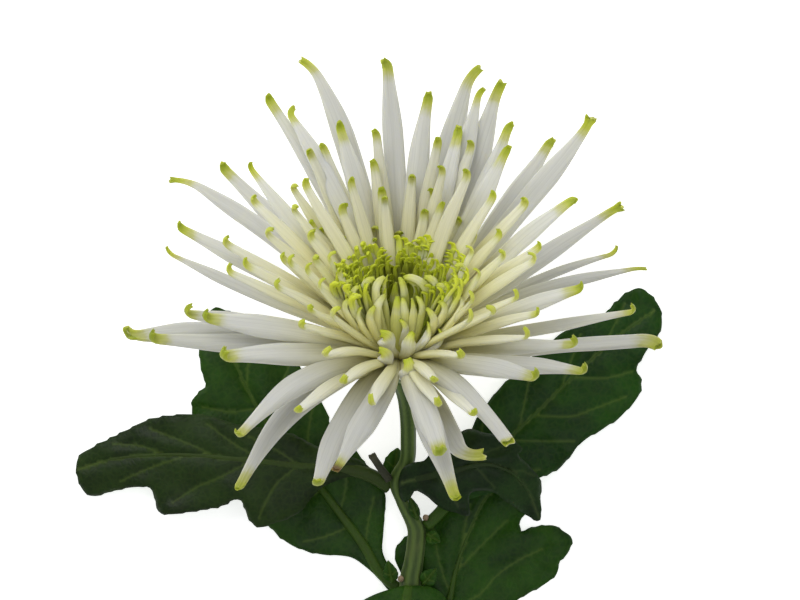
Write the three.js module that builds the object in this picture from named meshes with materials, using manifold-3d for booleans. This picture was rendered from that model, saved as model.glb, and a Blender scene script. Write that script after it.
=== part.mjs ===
// A spider chrysanthemum, one cut flower lying on a flat surface. Millimetres, +Z up.
// The stem lies along -Y, the bloom is at the +Y end and faces up, tilted back over the surface.
import * as THREE from 'three';
import Module from 'manifold-3d';
import { mergeVertices } from 'three/addons/utils/BufferGeometryUtils.js';

// ---- driving dimensions, with the bloom's centre at x = 0, y = 0 ----
const BLOOM_TILT = THREE.MathUtils.degToRad(40);  // the bloom's axis, back from vertical towards +Y
const BLOOM_HEIGHT = 36;                          // bloom centre above the surface
const RECEPTACLE_RADIUS = 9;
const FLORET_GAP = 0.35;                          // between the receptacle and a free floret
const FLORET_ROOTING = 1.5;                       // how deep an inner floret starts in the receptacle
const FLORET_BASE_WIDTH = 1.3;
const FLORET_TIP_WIDTH = 0.5;                     // of a floret's greatest width
const FLORET_THICKNESS = 0.62;                    // of a floret's own width
const FLORET_ARCH = 0.07;                         // rise of a floret's middle, of its length
const INNER_WIDTH = 3.36;                         // greatest width of an inner floret
const HOOK_LENGTH = 2.6;                          // the curled tip of a floret
const HOOK_TURN = 1.3;                            // radians
const HIGHEST_TIP = 85;                           // above the bloom centre, where the search for a tip starts
const LOWEST_TIP = 2.5;                           // above the surface
const CLEARANCE = 0.6;                            // left between florets that cross
const LEAN_ROUNDS = 120;
const LEAN_STEP = 0.35;                           // how much of an overlap one round of leaning takes away
const LEAN_REACH = 8;                             // samples further apart than this can't touch
const LOWEST_FLORET = 1;                          // centre line of a floret that lies on the surface
const INVOLUCRE_DEPTH = 12;
const INVOLUCRE_RIM = 2.6;                        // rim below the bloom centre
const INVOLUCRE_WALL = 1.1;
const LEAF_THICKNESS = 0.55;
const RESTING_Z = 0.3;                            // mid-plane of a blade that lies on the surface

// How far the florets reach at each angle from the bloom's axis, in degrees and mm.
const BLOOM_PROFILE = [
  [0, 22], [10, 25], [20, 30], [30, 35], [40, 42], [50, 50], [60, 62], [70, 79], [80, 82], [180, 84],
];

const centre = new THREE.Vector3(0, 0, BLOOM_HEIGHT);
const axis = new THREE.Vector3(0, Math.sin(BLOOM_TILT), Math.cos(BLOOM_TILT));
// Where the florets' lines run together, from the bloom's centre.
const FLORET_FOOT = new THREE.Vector3(-0.4, -3.2, 1);

// Outer ray florets: tip x, tip y, middle x, middle y, greatest width, tip height where it is set.
// A height is given only to the ones that droop to the surface and to the ones that lie over others.
const OUTER_FLORETS = [
  [-25.4, 76.3, -11.4, 42.1, 5], [-35.2, 65.7, -17.2, 36.6, 4.6], [-28.9, 62.5, -14.6, 35.2, 4],
  [-16.2, 58.6, -9, 32.1, 4.4, 22], [-3.4, 75, -1.6, 41.1, 4.6], [7.7, 66.2, 3.4, 36, 4.6],
  [20.4, 73.4, 9.8, 41.1, 4.8], [20.9, 67.3, 12.7, 37.1, 4], [27.3, 69.4, 16.4, 38.4, 4.6],
  [15.6, 57.2, 9.5, 31.8, 4.2, 24], [28.9, 58.6, 18, 31.8, 4.2], [28.4, 52.2, 16.4, 28.4, 4],
  [39.8, 54.1, 22.8, 28.6, 4.2, 0.5], [50.4, 59.1, 28.6, 31, 4.8, 9], [46.1, 39, 23.6, 19.9, 4.6],
  [57.8, 36.8, 29.9, 18.3, 4.6, 0.5], [56.4, 24.9, 28.1, 14, 3.4, 0.5],
  [64.4, 20.4, 31.8, 12.7, 3.6, 10], [48.5, 15.4, 24.4, 7.2, 4.4], [62, 9, 31.5, 3.7, 4],
  [46.6, 0.5, 23.9, -1.1, 4.2], [67.8, -0.3, 34.2, -1.6, 4.6], [49.3, -6.9, 24.4, -4.2, 4.6],
  [36.3, -8.5, 18, -5.6, 4.4], [28.4, -25.4, 15.4, -10.9, 5.2], [16.7, -29.7, 8.5, -15.1, 4.8, 84],
  [10.6, -28.4, 5.3, -13.5, 4.6], [14.8, -41.6, 6.9, -17.5, 5.4], [-17, -33.1, -6.4, -14.6, 5.4],
  [-21.7, -36.8, -12.5, -15.1, 4.6], [-42.7, -38.2, -24.9, -14.3, 5.2], [-42.7, -24.1, -23.6, -8.7, 4.8],
  [-46.9, -2.9, -24.4, -2.4, 4.8], [-51.7, 7.4, -26, 3.2, 4.4], [-72.6, 2.9, -36.6, 3.7, 5.2],
  [-65.7, 1.9, -33.1, 0.5, 4.2], [-56.7, 8.5, -28.1, 5.3, 4.4], [-61.7, 24.6, -31.8, 11.1, 3.6, 0.5],
  [-58.8, 31.5, -29.7, 16.2, 4.8], [-60.7, 42.7, -29.7, 23.1, 4.4, 4],
  [-47.2, 47.4, -23.3, 23.1, 4.8, 0.5], [-40, 47.4, -20.9, 23.1, 3.4],
];

// Inner florets, grown together with the receptacle: tip x and tip y.
const INNER_FLORETS = [
  [-20.3, 52.7], [-24.1, 51.5], [-6.2, 56.4], [-6.8, 48.4], [-13.2, 43.5], [-4.8, 41.2], [-4.0, 38.4],
  [-46.7, 27.4], [-41.6, 21.7], [-45.6, 19.6], [-39.2, 38.7], [-28.6, 42.1], [-28.6, 36.6], [-25.4, 43.2],
  [-20.0, 34.8], [-15.7, 36.7], [-35.5, 29.9], [-24.1, 32.6], [-31.8, 23.7], [-22.9, 23.7], [-25.2, 20.8],
  [-16.0, 28.6], [-13.1, 26.8], [-21.7, 16.4], [-33.2, 15.9], [10.2, 54.1], [19.2, 53.3], [11.5, 46.6],
  [18.1, 45.2], [9.2, 40.6], [10.9, 37.2], [3.2, 44.0], [6.6, 35.4], [15.5, 33.7], [10.9, 27.7],
  [25.0, 39.8], [33.6, 38.0], [20.1, 29.7], [27.0, 29.7], [37.4, 26.5], [28.1, 24.5], [21.5, 19.3],
  [31.3, 12.8], [25.3, 9.1], [36.8, 8.5], [19.0, 7.4], [33.9, 2.2], [16.7, -2.9], [10.6, -8.7],
  [2.6, -6.4], [10.3, -15.7], [19.8, -18.2], [5.8, 5.0], [-26.9, 5.4], [-20.3, -2.4], [-24.6, 10.2],
  [-18.3, 8.5], [-15.4, -9.8], [-27.5, -17.4], [-7.4, -15.6], [-3.4, -2.9],
];

// Stem centre line from under the bloom to the cut end, with its radius at each point.
const STEM_PATH = [
  [0, -8.1, 26.3, 2.9], [1.2, -12.6, 21.4, 2.1], [2.0, -18.5, 16.4, 2.0], [2.2, -25, 12.4, 2.0],
  [1.9, -30.5, 9.6, 2.0], [-0.6, -35.8, 7.6, 2.1], [0.6, -41, 6.3, 1.7], [4.3, -48.5, 5.0, 2.1],
  [4.2, -53, 4.5, 2.4], [3.5, -58, 4.1, 2.5], [2.7, -63, 3.8, 2.6], [3.4, -72, 3.4, 2.4],
  [5.3, -84, 3.1, 2.6], [4.2, -98, 2.8, 2.5], [1.4, -116, 2.6, 2.6], [0.6, -134, 2.6, 2.5],
  [-1.5, -164, 2.6, 2.6],
];

// Leaves: the rib from the stem to the tip with its heights, then each edge from the stem to the tip.
// sag is how far the blade falls towards its edges, per mm from the rib.
const LEAVES = {
  leaf_left_front: {
    sag: -0.06,
    rib: [[-2.7, -37.6, 7.2], [-6.2, -35.2, 8.4], [-10.5, -33.4, 9.4], [-15.9, -32.8, 10.2],
      [-26.5, -31.8, 11], [-41.9, -30.2, 10.5], [-59.4, -28.9, 8], [-76.3, -30.2, 4], [-85.6, -34, 1.6]],
    left: [[-3.2, -39.3], [-5.1, -38.5], [-6.8, -36.9], [-9.4, -35.6], [-13.3, -35], [-16.7, -36.2],
      [-21.2, -38.6], [-27, -44.5], [-37.4, -48.2], [-39.8, -45.3], [-41.6, -40.8], [-47.4, -42.7],
      [-58, -44.5], [-62.5, -44.5], [-65.2, -39.8], [-66.2, -37.9], [-76.9, -38.7], [-81.9, -40]],
    right: [[-3.4, -36], [-7.8, -32.6], [-10.3, -30.6], [-21.7, -26.8], [-28.9, -23.3], [-43.7, -20.7],
      [-51.7, -18.3], [-59.6, -18.4], [-66.5, -19.6], [-71.5, -22.8], [-76.9, -24.6], [-81.6, -27],
      [-85.3, -29.7]],
  },
  leaf_left_back: {
    sag: 0.01,
    rib: [[-0.5, -64.4, 2.6], [-9.3, -53.5, 1.6], [-15.9, -44.5, 1.1], [-21.2, -37.6, 1], [-35.2, -20.7, 1],
      [-41.6, -9.3, 1.2], [-46, 2, 1.6], [-47.6, 9.6, 2]],
    left: [[-1.4, -65.8], [-5.8, -61.7], [-13, -56.2], [-21.2, -55.4], [-30.5, -51.9], [-42.4, -41.1],
      [-51.7, -25.2], [-54.9, -18], [-54.9, -14.6], [-51.4, -11.1], [-53, -0.8], [-50.4, 9.3]],
    right: [[-1, -62.4], [-2.9, -58.8], [-4.5, -54.6], [-4, -44.5], [-7.4, -36], [-12.7, -26.5],
      [-19.9, -17], [-26.2, -5.6], [-33.1, 2.7], [-43.2, 8]],
  },
  leaf_right: {
    sag: -0.03,
    rib: [[6.8, -47.9, 5.2], [14.6, -39.8, 5.4], [22.3, -31, 4.6], [36.8, -17.2, 3.4], [49.3, -5, 2.8],
      [59.1, 3.4, 2.8], [68.4, 9.5, 2.2]],
    left: [[6.9, -46.5], [10.6, -41.6], [14.2, -35.8], [19.1, -21.7], [28.1, -9.5], [39, 0.1], [42.7, 3.2],
      [53.3, 7.7], [57, 11.4], [63.3, 15.1], [67.8, 11.7]],
    right: [[8, -48.5], [12, -44.6], [16.9, -41.4], [24.5, -39], [31.8, -37], [41.9, -32.6], [47.4, -26.2],
      [54.9, -21.5], [61.7, -15.5], [63.6, -10], [62.5, -6.9], [65.7, -1.1], [69.2, 5]],
  },
  leaf_right_front: {
    sag: -0.2,
    rib: [[0.6, -36.4, 10.6], [3.4, -35.6, 13], [7, -34.8, 15.4], [14.8, -33, 18], [22.6, -31.4, 18.6],
      [30, -34, 16.5], [34.6, -40, 12.6], [36.8, -46.1, 9]],
    left: [[0.5, -35], [1.2, -32.4], [3.4, -31], [7.7, -28.9], [15.9, -22.8], [18.3, -22], [21.7, -22.8],
      [30.2, -25.2], [31.8, -29.4], [36.6, -34.7], [37.4, -40]],
    right: [[0.2, -38.7], [1.3, -41.4], [3.4, -39.2], [7.2, -40], [11.7, -43.5], [18, -45.1], [18, -40],
      [21.7, -38.4], [27, -40.5], [33.1, -44.8]],
  },
  leaf_right_lower: {
    sag: 0,
    rib: [[8.6, -86.2, 1.9], [10.6, -76.9, 0.8], [13.2, -67.3, 0.6], [14.8, -59.6, 0.6], [18.3, -49.6, 0.6],
      [26.5, -37.2, 0.6]],
    left: [[8.8, -79.5], [7.4, -74], [2.1, -64.9], [-1.3, -56.4], [0, -51.9], [5.3, -47.7], [11.7, -44],
      [19.1, -39.5]],
    right: [[10, -86.4], [14.6, -79.5], [23.9, -72.9], [36.8, -64.1], [41.9, -59.6], [45.1, -54.1],
      [43.5, -49.3], [40.5, -47.7], [34.5, -48.2], [31.5, -48.2], [32.9, -44.8]],
  },
  leaf_bottom_front: {
    sag: -0.24,
    rib: [[2.2, -63.8, 7], [1.4, -69, 8.6], [0.4, -80, 10], [-1, -94, 9.6], [-3.4, -110, 8], [-5, -124, 6.4]],
    left: [[4.4, -64], [8, -65.4], [13, -69], [17, -78], [15.5, -87], [18, -95], [12.5, -108], [4, -119]],
    right: [[0, -64.6], [-5, -66.6], [-12, -70], [-17, -77], [-16, -88], [-21, -98], [-18, -110],
      [-12, -120]],
  },
};

// Leaflets at the nodes of the stem: length, width, where each starts, and the way it points.
const LEAFLETS = {
  leaflet_upper: { length: 8, width: 5.4, from: [-1.6, -35, 4.8], towards: [0.12, 1, -0.05] },
  leaflet_middle_upright: { length: 6.5, width: 2.8, from: [4.7, -46.2, 7.6], towards: [-0.35, 1, 0.3] },
  leaflet_middle_round: { length: 4.2, width: 3.8, from: [7, -49.8, 6], towards: [0.8, -0.5, 0.2] },
  leaflet_lower_left: { length: 6, width: 4, from: [-2, -62.9, 5.2], towards: [-0.2, 1, 0.4] },
  leaflet_lower_right: { length: 5.5, width: 4.5, from: [6, -63.4, 5.6], towards: [0.75, 0.9, 0.35] },
};
const LEAFLET_THICKNESS = 0.7;

const BUDS = { bud_middle: [6.8, -45.6, 7], bud_lower: [0.2, -61.8, 6.6] };
const BUD_RADIUS = 0.9;
const SIDE_SHOOT = { from: [-2.9, -35.6, 9.6], to: [-7.4, -29.2, 12.2], radius: 0.95 };

// ---- colours ----
const FLORET_WHITE = 0xe6e6da;
const INNER_GREEN = 0xc9d184;
const BRACT_GREEN = 0x56733a;
const STEM_GREEN = 0x4f6b38;
const LEAF_GREEN = 0x24421f;
const CUT_BROWN = 0x6f6a4e;

const vec = (p) => new THREE.Vector3(p[0], p[1], p[2]);
const smooth = (low, high, x) => THREE.MathUtils.smoothstep(x, low, high);

// One closed body from rings of points: quads between the rings, a fan on each end.
function skin(rings) {
  const sides = rings[0].length;
  const points = rings.flat();
  const faces = [];
  for (let r = 0; r + 1 < rings.length; r += 1) {
    for (let k = 0; k < sides; k += 1) {
      const next = (k + 1) % sides;
      const a = r * sides + k;
      const b = r * sides + next;
      faces.push(a, b + sides, b, a, a + sides, b + sides);
    }
  }
  for (const [ring, flip] of [[0, true], [rings.length - 1, false]]) {
    const middle = points.length;
    points.push(rings[ring].reduce((sum, p) => sum.add(p), new THREE.Vector3()).divideScalar(sides));
    for (let k = 0; k < sides; k += 1) {
      const a = ring * sides + k;
      const b = ring * sides + (k + 1) % sides;
      faces.push(...(flip ? [middle, a, b] : [middle, b, a]));
    }
  }
  return solid(points, faces);
}

function solid(points, faces) {
  const geometry = new THREE.BufferGeometry();
  const numbers = points.flatMap((p) => p.toArray());
  geometry.setAttribute('position', new THREE.Float32BufferAttribute(numbers, 3));
  geometry.setIndex(faces);
  return geometry;
}

// A ring of points round a centre, across the direction ahead, widest along side.
function ring(middle, ahead, up, halfWidth, halfHeight, sides) {
  const across = new THREE.Vector3().crossVectors(ahead, up).normalize();
  const rise = new THREE.Vector3().crossVectors(across, ahead).normalize();
  return Array.from({ length: sides }, (_, k) => {
    const turn = (2 * Math.PI * k) / sides;
    return middle.clone()
      .addScaledVector(across, halfWidth * Math.cos(turn))
      .addScaledVector(rise, halfHeight * Math.sin(turn));
  });
}

// ---- florets ----

function profileReach(angle) {
  const upper = BLOOM_PROFILE.findIndex(([a]) => a >= angle);
  const [a1, r1] = BLOOM_PROFILE[Math.max(upper, 1)];
  const [a0, r0] = BLOOM_PROFILE[Math.max(upper, 1) - 1];
  return r0 + ((r1 - r0) * (angle - a0)) / (a1 - a0);
}

// Height of a tip that is known from above: the first place under the sky that lies on the bloom's outline.
function tipHeight(x, y) {
  const floor = LOWEST_TIP - BLOOM_HEIGHT;
  let best = floor;
  let least = Infinity;
  for (let z = HIGHEST_TIP; z >= floor; z -= 0.5) {
    const tip = new THREE.Vector3(x, y, z);
    const outside = tip.length() - profileReach(THREE.MathUtils.radToDeg(tip.angleTo(axis)));
    if (outside <= 0) return z;
    if (outside < least) {
      least = outside;
      best = z;
    }
  }
  return best;
}

function makeFloret([x, y], through, width, height, inner) {
  const z = height === undefined ? tipHeight(x, y) : height - BLOOM_HEIGHT;
  const tip = new THREE.Vector3(x, y, z);
  const arch = FLORET_ARCH * tip.length() * Math.sin(tip.angleTo(axis));
  const middle = tip.clone().add(FLORET_FOOT).multiplyScalar(0.5).addScaledVector(axis, arch);
  if (through !== null) middle.set(through[0], through[1], middle.z);
  return { tip, middle, width, inner };
}

// A floret's centre line, from the receptacle to where its tip starts to curl.
function floretCurve(floret) {
  const start = RECEPTACLE_RADIUS + (floret.inner ? -FLORET_ROOTING : FLORET_GAP);
  const base = floret.middle.clone().setLength(start);
  const ends = base.clone().add(floret.tip);
  const handle = floret.middle.clone().multiplyScalar(2).addScaledVector(ends, -0.5);
  return new THREE.QuadraticBezierCurve3(base, handle, floret.tip);
}

function floretWidth(floret, s) {
  const grown = THREE.MathUtils.lerp(FLORET_BASE_WIDTH, floret.width, smooth(0, 0.55, s));
  return THREE.MathUtils.lerp(grown, FLORET_TIP_WIDTH * floret.width, smooth(0.72, 1, s));
}

function floretSamples(floret, steps) {
  const curve = floretCurve(floret);
  return Array.from({ length: steps + 1 }, (_, k) => {
    const s = k / steps;
    const point = curve.getPoint(s);
    const ahead = curve.getTangent(s);
    const up = axis.clone().addScaledVector(ahead, -axis.dot(ahead)).normalize();
    const half = floretWidth(floret, s) / 2;
    return { s, point, ahead, up, half };
  });
}

// Florets that would touch lean apart in height, as crowded florets do, and keep their place seen from above.
function spreadFlorets(florets) {
  for (let round = 0; round < LEAN_ROUNDS; round += 1) {
    const samples = florets.map((f) => floretSamples(f, 9));
    let touching = 0;
    for (let i = 0; i < florets.length; i += 1) {
      for (let j = i + 1; j < florets.length; j += 1) {
        if (florets[i].inner && florets[j].inner) continue;
        touching += leanApart(florets[i], florets[j], samples[i], samples[j]) ? 1 : 0;
      }
    }
    if (touching === 0) break;
  }
}

function leanApart(one, other, samplesOne, samplesOther) {
  let worst = 0;
  let at = null;
  for (const p of samplesOne) {
    for (const q of samplesOther) {
      const between = new THREE.Vector3().subVectors(q.point, p.point);
      const distance = between.length();
      if (distance > LEAN_REACH) continue;
      const way = between.divideScalar(Math.max(distance, 1e-6));
      const needed = support(p, way) + support(q, way) + CLEARANCE;
      if (needed - distance > worst) {
        worst = needed - distance;
        at = { p, q, sign: way.z >= 0 ? 1 : -1 };
      }
    }
  }
  if (at === null) return false;
  const lean = at.sign * Math.min(worst, 1) * LEAN_STEP;
  moveFloret(other, at.q.s, lean);
  moveFloret(one, at.p.s, -lean);
  return true;
}

function support(sample, way) {
  const across = new THREE.Vector3().crossVectors(sample.ahead, sample.up);
  return Math.hypot(sample.half * across.dot(way), sample.half * FLORET_THICKNESS * sample.up.dot(way));
}

function moveFloret(floret, s, distance) {
  const lowest = LOWEST_FLORET - BLOOM_HEIGHT;
  floret.tip.z = Math.max(floret.tip.z + distance * Math.min(1, s + 0.2), lowest);
  floret.middle.z += distance * (1 - 0.5 * s);
}

function floretGeometry(floret, steps, sides) {
  const samples = floretSamples(floret, steps);
  const rings = samples.map(({ point, ahead, up, half }) => ring(
    point, ahead, up, half, half * FLORET_THICKNESS, sides));
  const { point, ahead, up, half } = samples[steps];
  const inward = THREE.MathUtils.clamp(ahead.angleTo(axis), 0.2, 1);
  const sideways = new THREE.Vector3().crossVectors(ahead, up).normalize();
  const turned = ahead.clone().applyAxisAngle(sideways, HOOK_TURN * inward);
  const end = point.clone()
    .addScaledVector(ahead, HOOK_LENGTH * 0.35)
    .addScaledVector(turned, HOOK_LENGTH * 0.65);
  const bisector = ahead.clone().add(turned).normalize();
  rings.push(ring(end, bisector, up, 0.7 * half, 0.7 * half * FLORET_THICKNESS, sides));
  return skin(rings);
}

// ---- leaves ----

// A rib's own direction and height near a point, from the closest stretch of it.
function onRib(rib, x, y) {
  let best = { away: Infinity, z: 0 };
  for (let k = 0; k + 1 < rib.length; k += 1) {
    const [x0, y0, z0] = rib[k];
    const [x1, y1, z1] = rib[k + 1];
    const square = (x1 - x0) ** 2 + (y1 - y0) ** 2;
    const along = ((x - x0) * (x1 - x0) + (y - y0) * (y1 - y0)) / square;
    const t = THREE.MathUtils.clamp(along, 0, 1);
    const away = Math.hypot(x - x0 - t * (x1 - x0), y - y0 - t * (y1 - y0));
    if (away < best.away) best = { away, z: z0 + t * (z1 - z0) };
  }
  return best;
}

// A blade: each side is the stretch between the rib and its edge, given a thickness.
function leafGeometry({ rib, left, right, sag }) {
  const edgePoint = ([x, y]) => {
    const { away, z } = onRib(rib, x, y);
    return new THREE.Vector3(x, y, Math.max(z + sag * away, RESTING_Z));
  };
  const spine = rib.map(vec);
  const halves = [left, right].map((edge) => edge.map(edgePoint));
  const top = [...spine, ...halves[0], ...halves[1]];
  const faces = [];
  const inner = spine.map((_, k) => k);
  halves.forEach((edge, side) => {
    const start = spine.length + (side === 0 ? 0 : halves[0].length);
    const loop = [...inner, ...edge.map((_, k) => start + k).reverse()];
    const outline = loop.map((k) => new THREE.Vector2(top[k].x, top[k].y));
    for (const face of THREE.ShapeUtils.triangulateShape(outline, [])) {
      const [a, b, c] = face.map((k) => loop[k]);
      const first = new THREE.Vector3().subVectors(top[b], top[a]);
      const second = new THREE.Vector3().subVectors(top[c], top[a]);
      faces.push(first.cross(second).z > 0 ? [a, b, c] : [a, c, b]);
    }
  });
  const lift = new THREE.Vector3(0, 0, LEAF_THICKNESS / 2);
  const points = [...top.map((p) => p.clone().add(lift)), ...top.map((p) => p.clone().sub(lift))];
  const all = [];
  const count = top.length;
  for (const [a, b, c] of faces) all.push(a, b, c, c + count, b + count, a + count);
  const leftRim = halves[0].map((_, k) => spine.length + k);
  const rightRim = halves[1].map((_, k) => spine.length + halves[0].length + k);
  const rim = [0, ...leftRim, spine.length - 1, ...rightRim.reverse()];
  const area = rim.reduce((sum, a, k) => {
    const b = rim[(k + 1) % rim.length];
    return sum + top[a].x * top[b].y - top[b].x * top[a].y;
  }, 0);
  if (area < 0) rim.reverse();
  rim.forEach((a, k) => {
    const b = rim[(k + 1) % rim.length];
    all.push(a, a + count, b + count, a, b + count, b);
  });
  return solid(points, all);
}

function leafletGeometry({ length, width, from, towards }) {
  const ahead = vec(towards).normalize();
  const start = vec(from);
  const rings = [0, 0.25, 0.55, 0.85, 1].map((s) => {
    const half = Math.max((width / 2) * Math.sin(Math.PI * (0.12 + 0.82 * s)), LEAFLET_THICKNESS / 2);
    const middle = start.clone().addScaledVector(ahead, s * length);
    return ring(middle, ahead, new THREE.Vector3(0, 0, 1), half, LEAFLET_THICKNESS / 2, 6);
  });
  return skin(rings);
}

// ---- stem, involucre, buds ----

function stemGeometry() {
  const curve = new THREE.CatmullRomCurve3(STEM_PATH.map(vec));
  const steps = 3 * (STEM_PATH.length - 1);
  const rings = [];
  const up = new THREE.Vector3(0, 0.35, 1);
  for (let k = 0; k <= steps; k += 1) {
    const t = k / steps;
    const place = t * (STEM_PATH.length - 1);
    const index = Math.min(Math.floor(place), STEM_PATH.length - 2);
    const radius = THREE.MathUtils.lerp(STEM_PATH[index][3], STEM_PATH[index + 1][3], place - index);
    rings.push(ring(curve.getPoint(t), curve.getTangent(t), up, radius, radius, 10));
  }
  return skin(rings);
}

function turnToAxis(geometry) {
  geometry.applyQuaternion(new THREE.Quaternion().setFromUnitVectors(new THREE.Vector3(0, 1, 0), axis));
  return geometry.translate(centre.x, centre.y, centre.z);
}

function closedLathe(profile, segments) {
  const geometry = new THREE.LatheGeometry(profile.map(([r, h]) => new THREE.Vector2(r, h)), segments);
  geometry.deleteAttribute('normal');
  geometry.deleteAttribute('uv');
  return mergeVertices(geometry, 1e-4);
}

function involucreGeometry() {
  const inside = RECEPTACLE_RADIUS + FLORET_GAP;
  const rim = Math.acos(INVOLUCRE_RIM / inside);
  const cup = [0, 0.25, 0.5, 0.75, 1].map((s) => {
    const turn = rim * s;
    return [inside * Math.sin(turn), -inside * Math.cos(turn)];
  });
  const last = cup[cup.length - 1];
  const outside = [
    [last[0] + INVOLUCRE_WALL, last[1] - 0.6], [8.4, -8], [4.6, 1 - INVOLUCRE_DEPTH],
    [3.2, -INVOLUCRE_DEPTH], [0, -INVOLUCRE_DEPTH],
  ];
  return turnToAxis(closedLathe([...cup, ...outside].reverse(), 18));
}

const wasm = await Module();
wasm.setup();

function toManifold(geometry) {
  const merged = mergeVertices(geometry, 1e-4);
  return new wasm.Manifold(new wasm.Mesh({
    numProp: 3,
    vertProperties: new Float32Array(merged.getAttribute('position').array),
    triVerts: new Uint32Array(merged.getIndex().array),
  }));
}

function fromManifold(manifold) {
  const mesh = manifold.getMesh();
  const geometry = new THREE.BufferGeometry();
  geometry.setAttribute('position', new THREE.Float32BufferAttribute(mesh.vertProperties, 3));
  geometry.setIndex(Array.from(mesh.triVerts));
  return geometry;
}

function receptacleGeometry(innerFlorets) {
  const dome = new THREE.SphereGeometry(RECEPTACLE_RADIUS, 16, 10);
  dome.deleteAttribute('normal');
  dome.deleteAttribute('uv');
  const grown = innerFlorets.map((floret) => toManifold(floretGeometry(floret, 3, 5)));
  const joined = grown.reduce((sum, piece) => sum.add(piece), toManifold(dome));
  return fromManifold(joined).translate(centre.x, centre.y, centre.z);
}

// ---- the flower ----

const flower = new THREE.Group();
flower.name = 'spider_chrysanthemum';

function addPiece(name, geometry, color, roughness) {
  const mesh = new THREE.Mesh(geometry, new THREE.MeshStandardMaterial({ color, roughness, metalness: 0 }));
  mesh.name = name;
  flower.add(mesh);
}

const outer = OUTER_FLORETS.map(([x, y, middleX, middleY, width, height]) => makeFloret(
  [x, y], [middleX, middleY], width, height, false));
const inner = INNER_FLORETS.map((tip) => makeFloret(tip, null, INNER_WIDTH, undefined, true));
spreadFlorets([...outer, ...inner]);

outer.forEach((floret, k) => {
  const geometry = floretGeometry(floret, 8, 6).translate(centre.x, centre.y, centre.z);
  addPiece(`ray_floret_${String(k + 1).padStart(2, '0')}`, geometry, FLORET_WHITE, 0.5);
});
addPiece('receptacle_with_inner_florets', receptacleGeometry(inner), INNER_GREEN, 0.5);
addPiece('involucre', involucreGeometry(), BRACT_GREEN, 0.6);
addPiece('stem', stemGeometry(), STEM_GREEN, 0.55);
for (const [name, leaf] of Object.entries(LEAVES)) {
  addPiece(name, leafGeometry(leaf), LEAF_GREEN, 0.4);
}
for (const [name, leaflet] of Object.entries(LEAFLETS)) {
  addPiece(name, leafletGeometry(leaflet), LEAF_GREEN, 0.4);
}
for (const [name, place] of Object.entries(BUDS)) {
  const bud = new THREE.IcosahedronGeometry(BUD_RADIUS, 1);
  bud.deleteAttribute('normal');
  bud.deleteAttribute('uv');
  addPiece(name, mergeVertices(bud, 1e-4).translate(...place), CUT_BROWN, 0.6);
}
const shoot = new THREE.LineCurve3(vec(SIDE_SHOOT.from), vec(SIDE_SHOOT.to));
const shootRings = [0, 1].map((t) => {
  const { radius } = SIDE_SHOOT;
  return ring(shoot.getPoint(t), shoot.getTangent(t), new THREE.Vector3(0, 0, 1), radius, radius, 10);
});
addPiece('cut_side_shoot', skin(shootRings), CUT_BROWN, 0.6);

// The origin is the middle of the whole flower's box, at the surface it lies on.
const box = new THREE.Box3().setFromObject(flower);
const middleOfBox = box.getCenter(new THREE.Vector3());
for (const mesh of flower.children) mesh.geometry.translate(-middleOfBox.x, -middleOfBox.y, -box.min.z);

export default flower;
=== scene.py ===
"""A cut spider chrysanthemum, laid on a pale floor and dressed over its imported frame.

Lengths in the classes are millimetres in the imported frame, and meshes are written in metres. The bloom
faces up, tilted back over the floor, and the stem lies away from it along -Y.
"""

import logging
import math
import random
from dataclasses import dataclass, field, replace
from enum import Enum
from functools import partial
from typing import Optional, Sequence

import bpy
import numpy as np
from bpy.types import Material, Node, NodeSocket, NodeTree, Object
from mathutils.geometry import delaunay_2d_cdt
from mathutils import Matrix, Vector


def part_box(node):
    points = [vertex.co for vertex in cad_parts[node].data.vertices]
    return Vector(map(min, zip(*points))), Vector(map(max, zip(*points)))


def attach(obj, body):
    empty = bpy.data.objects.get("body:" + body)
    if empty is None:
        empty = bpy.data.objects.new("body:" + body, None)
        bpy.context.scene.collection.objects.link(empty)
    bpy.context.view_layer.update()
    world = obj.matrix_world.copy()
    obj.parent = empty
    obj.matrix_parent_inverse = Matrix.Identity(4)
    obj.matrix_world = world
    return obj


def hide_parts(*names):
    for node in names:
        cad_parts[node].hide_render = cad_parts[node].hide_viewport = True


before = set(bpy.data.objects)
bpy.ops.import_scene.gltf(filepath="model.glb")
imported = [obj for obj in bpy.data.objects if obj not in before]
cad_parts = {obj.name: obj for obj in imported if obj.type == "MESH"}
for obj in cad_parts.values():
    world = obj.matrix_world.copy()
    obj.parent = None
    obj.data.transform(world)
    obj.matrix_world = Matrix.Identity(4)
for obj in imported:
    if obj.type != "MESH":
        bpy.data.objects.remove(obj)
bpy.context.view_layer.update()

LOG = logging.getLogger("spider_chrysanthemum")
MM = 0.001
BODY = "root"

Array = np.ndarray
Point = Sequence[float]
Table = tuple[tuple[float, ...], ...]


# ---- small tools ----

def linear(hex_colour: str) -> tuple[float, float, float, float]:
    """Turns an sRGB hex colour to linear light.

    Args:
        hex_colour: The colour as #rrggbb.

    Returns:
        Red, green, blue and an alpha of one.
    """
    channels = [int(hex_colour[k:k + 2], 16) / 255 for k in (1, 3, 5)]
    red, green, blue = [c / 12.92 if c <= 0.04045 else ((c + 0.055) / 1.055) ** 2.4 for c in channels]
    return red, green, blue, 1.0


def feed(node: Node, inputs: dict) -> None:
    """Fills or links a node's inputs.

    Args:
        node: The node.
        inputs: Input name or number, to its value, to the socket that feeds it, or to the node that
            feeds it with its first output in use.
    """
    for key, value in inputs.items():
        if isinstance(value, Node):
            value = next(socket for socket in value.outputs if socket.enabled)
        if isinstance(value, NodeSocket):
            node.id_data.links.new(value, node.inputs[key])
        else:
            node.inputs[key].default_value = value


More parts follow.
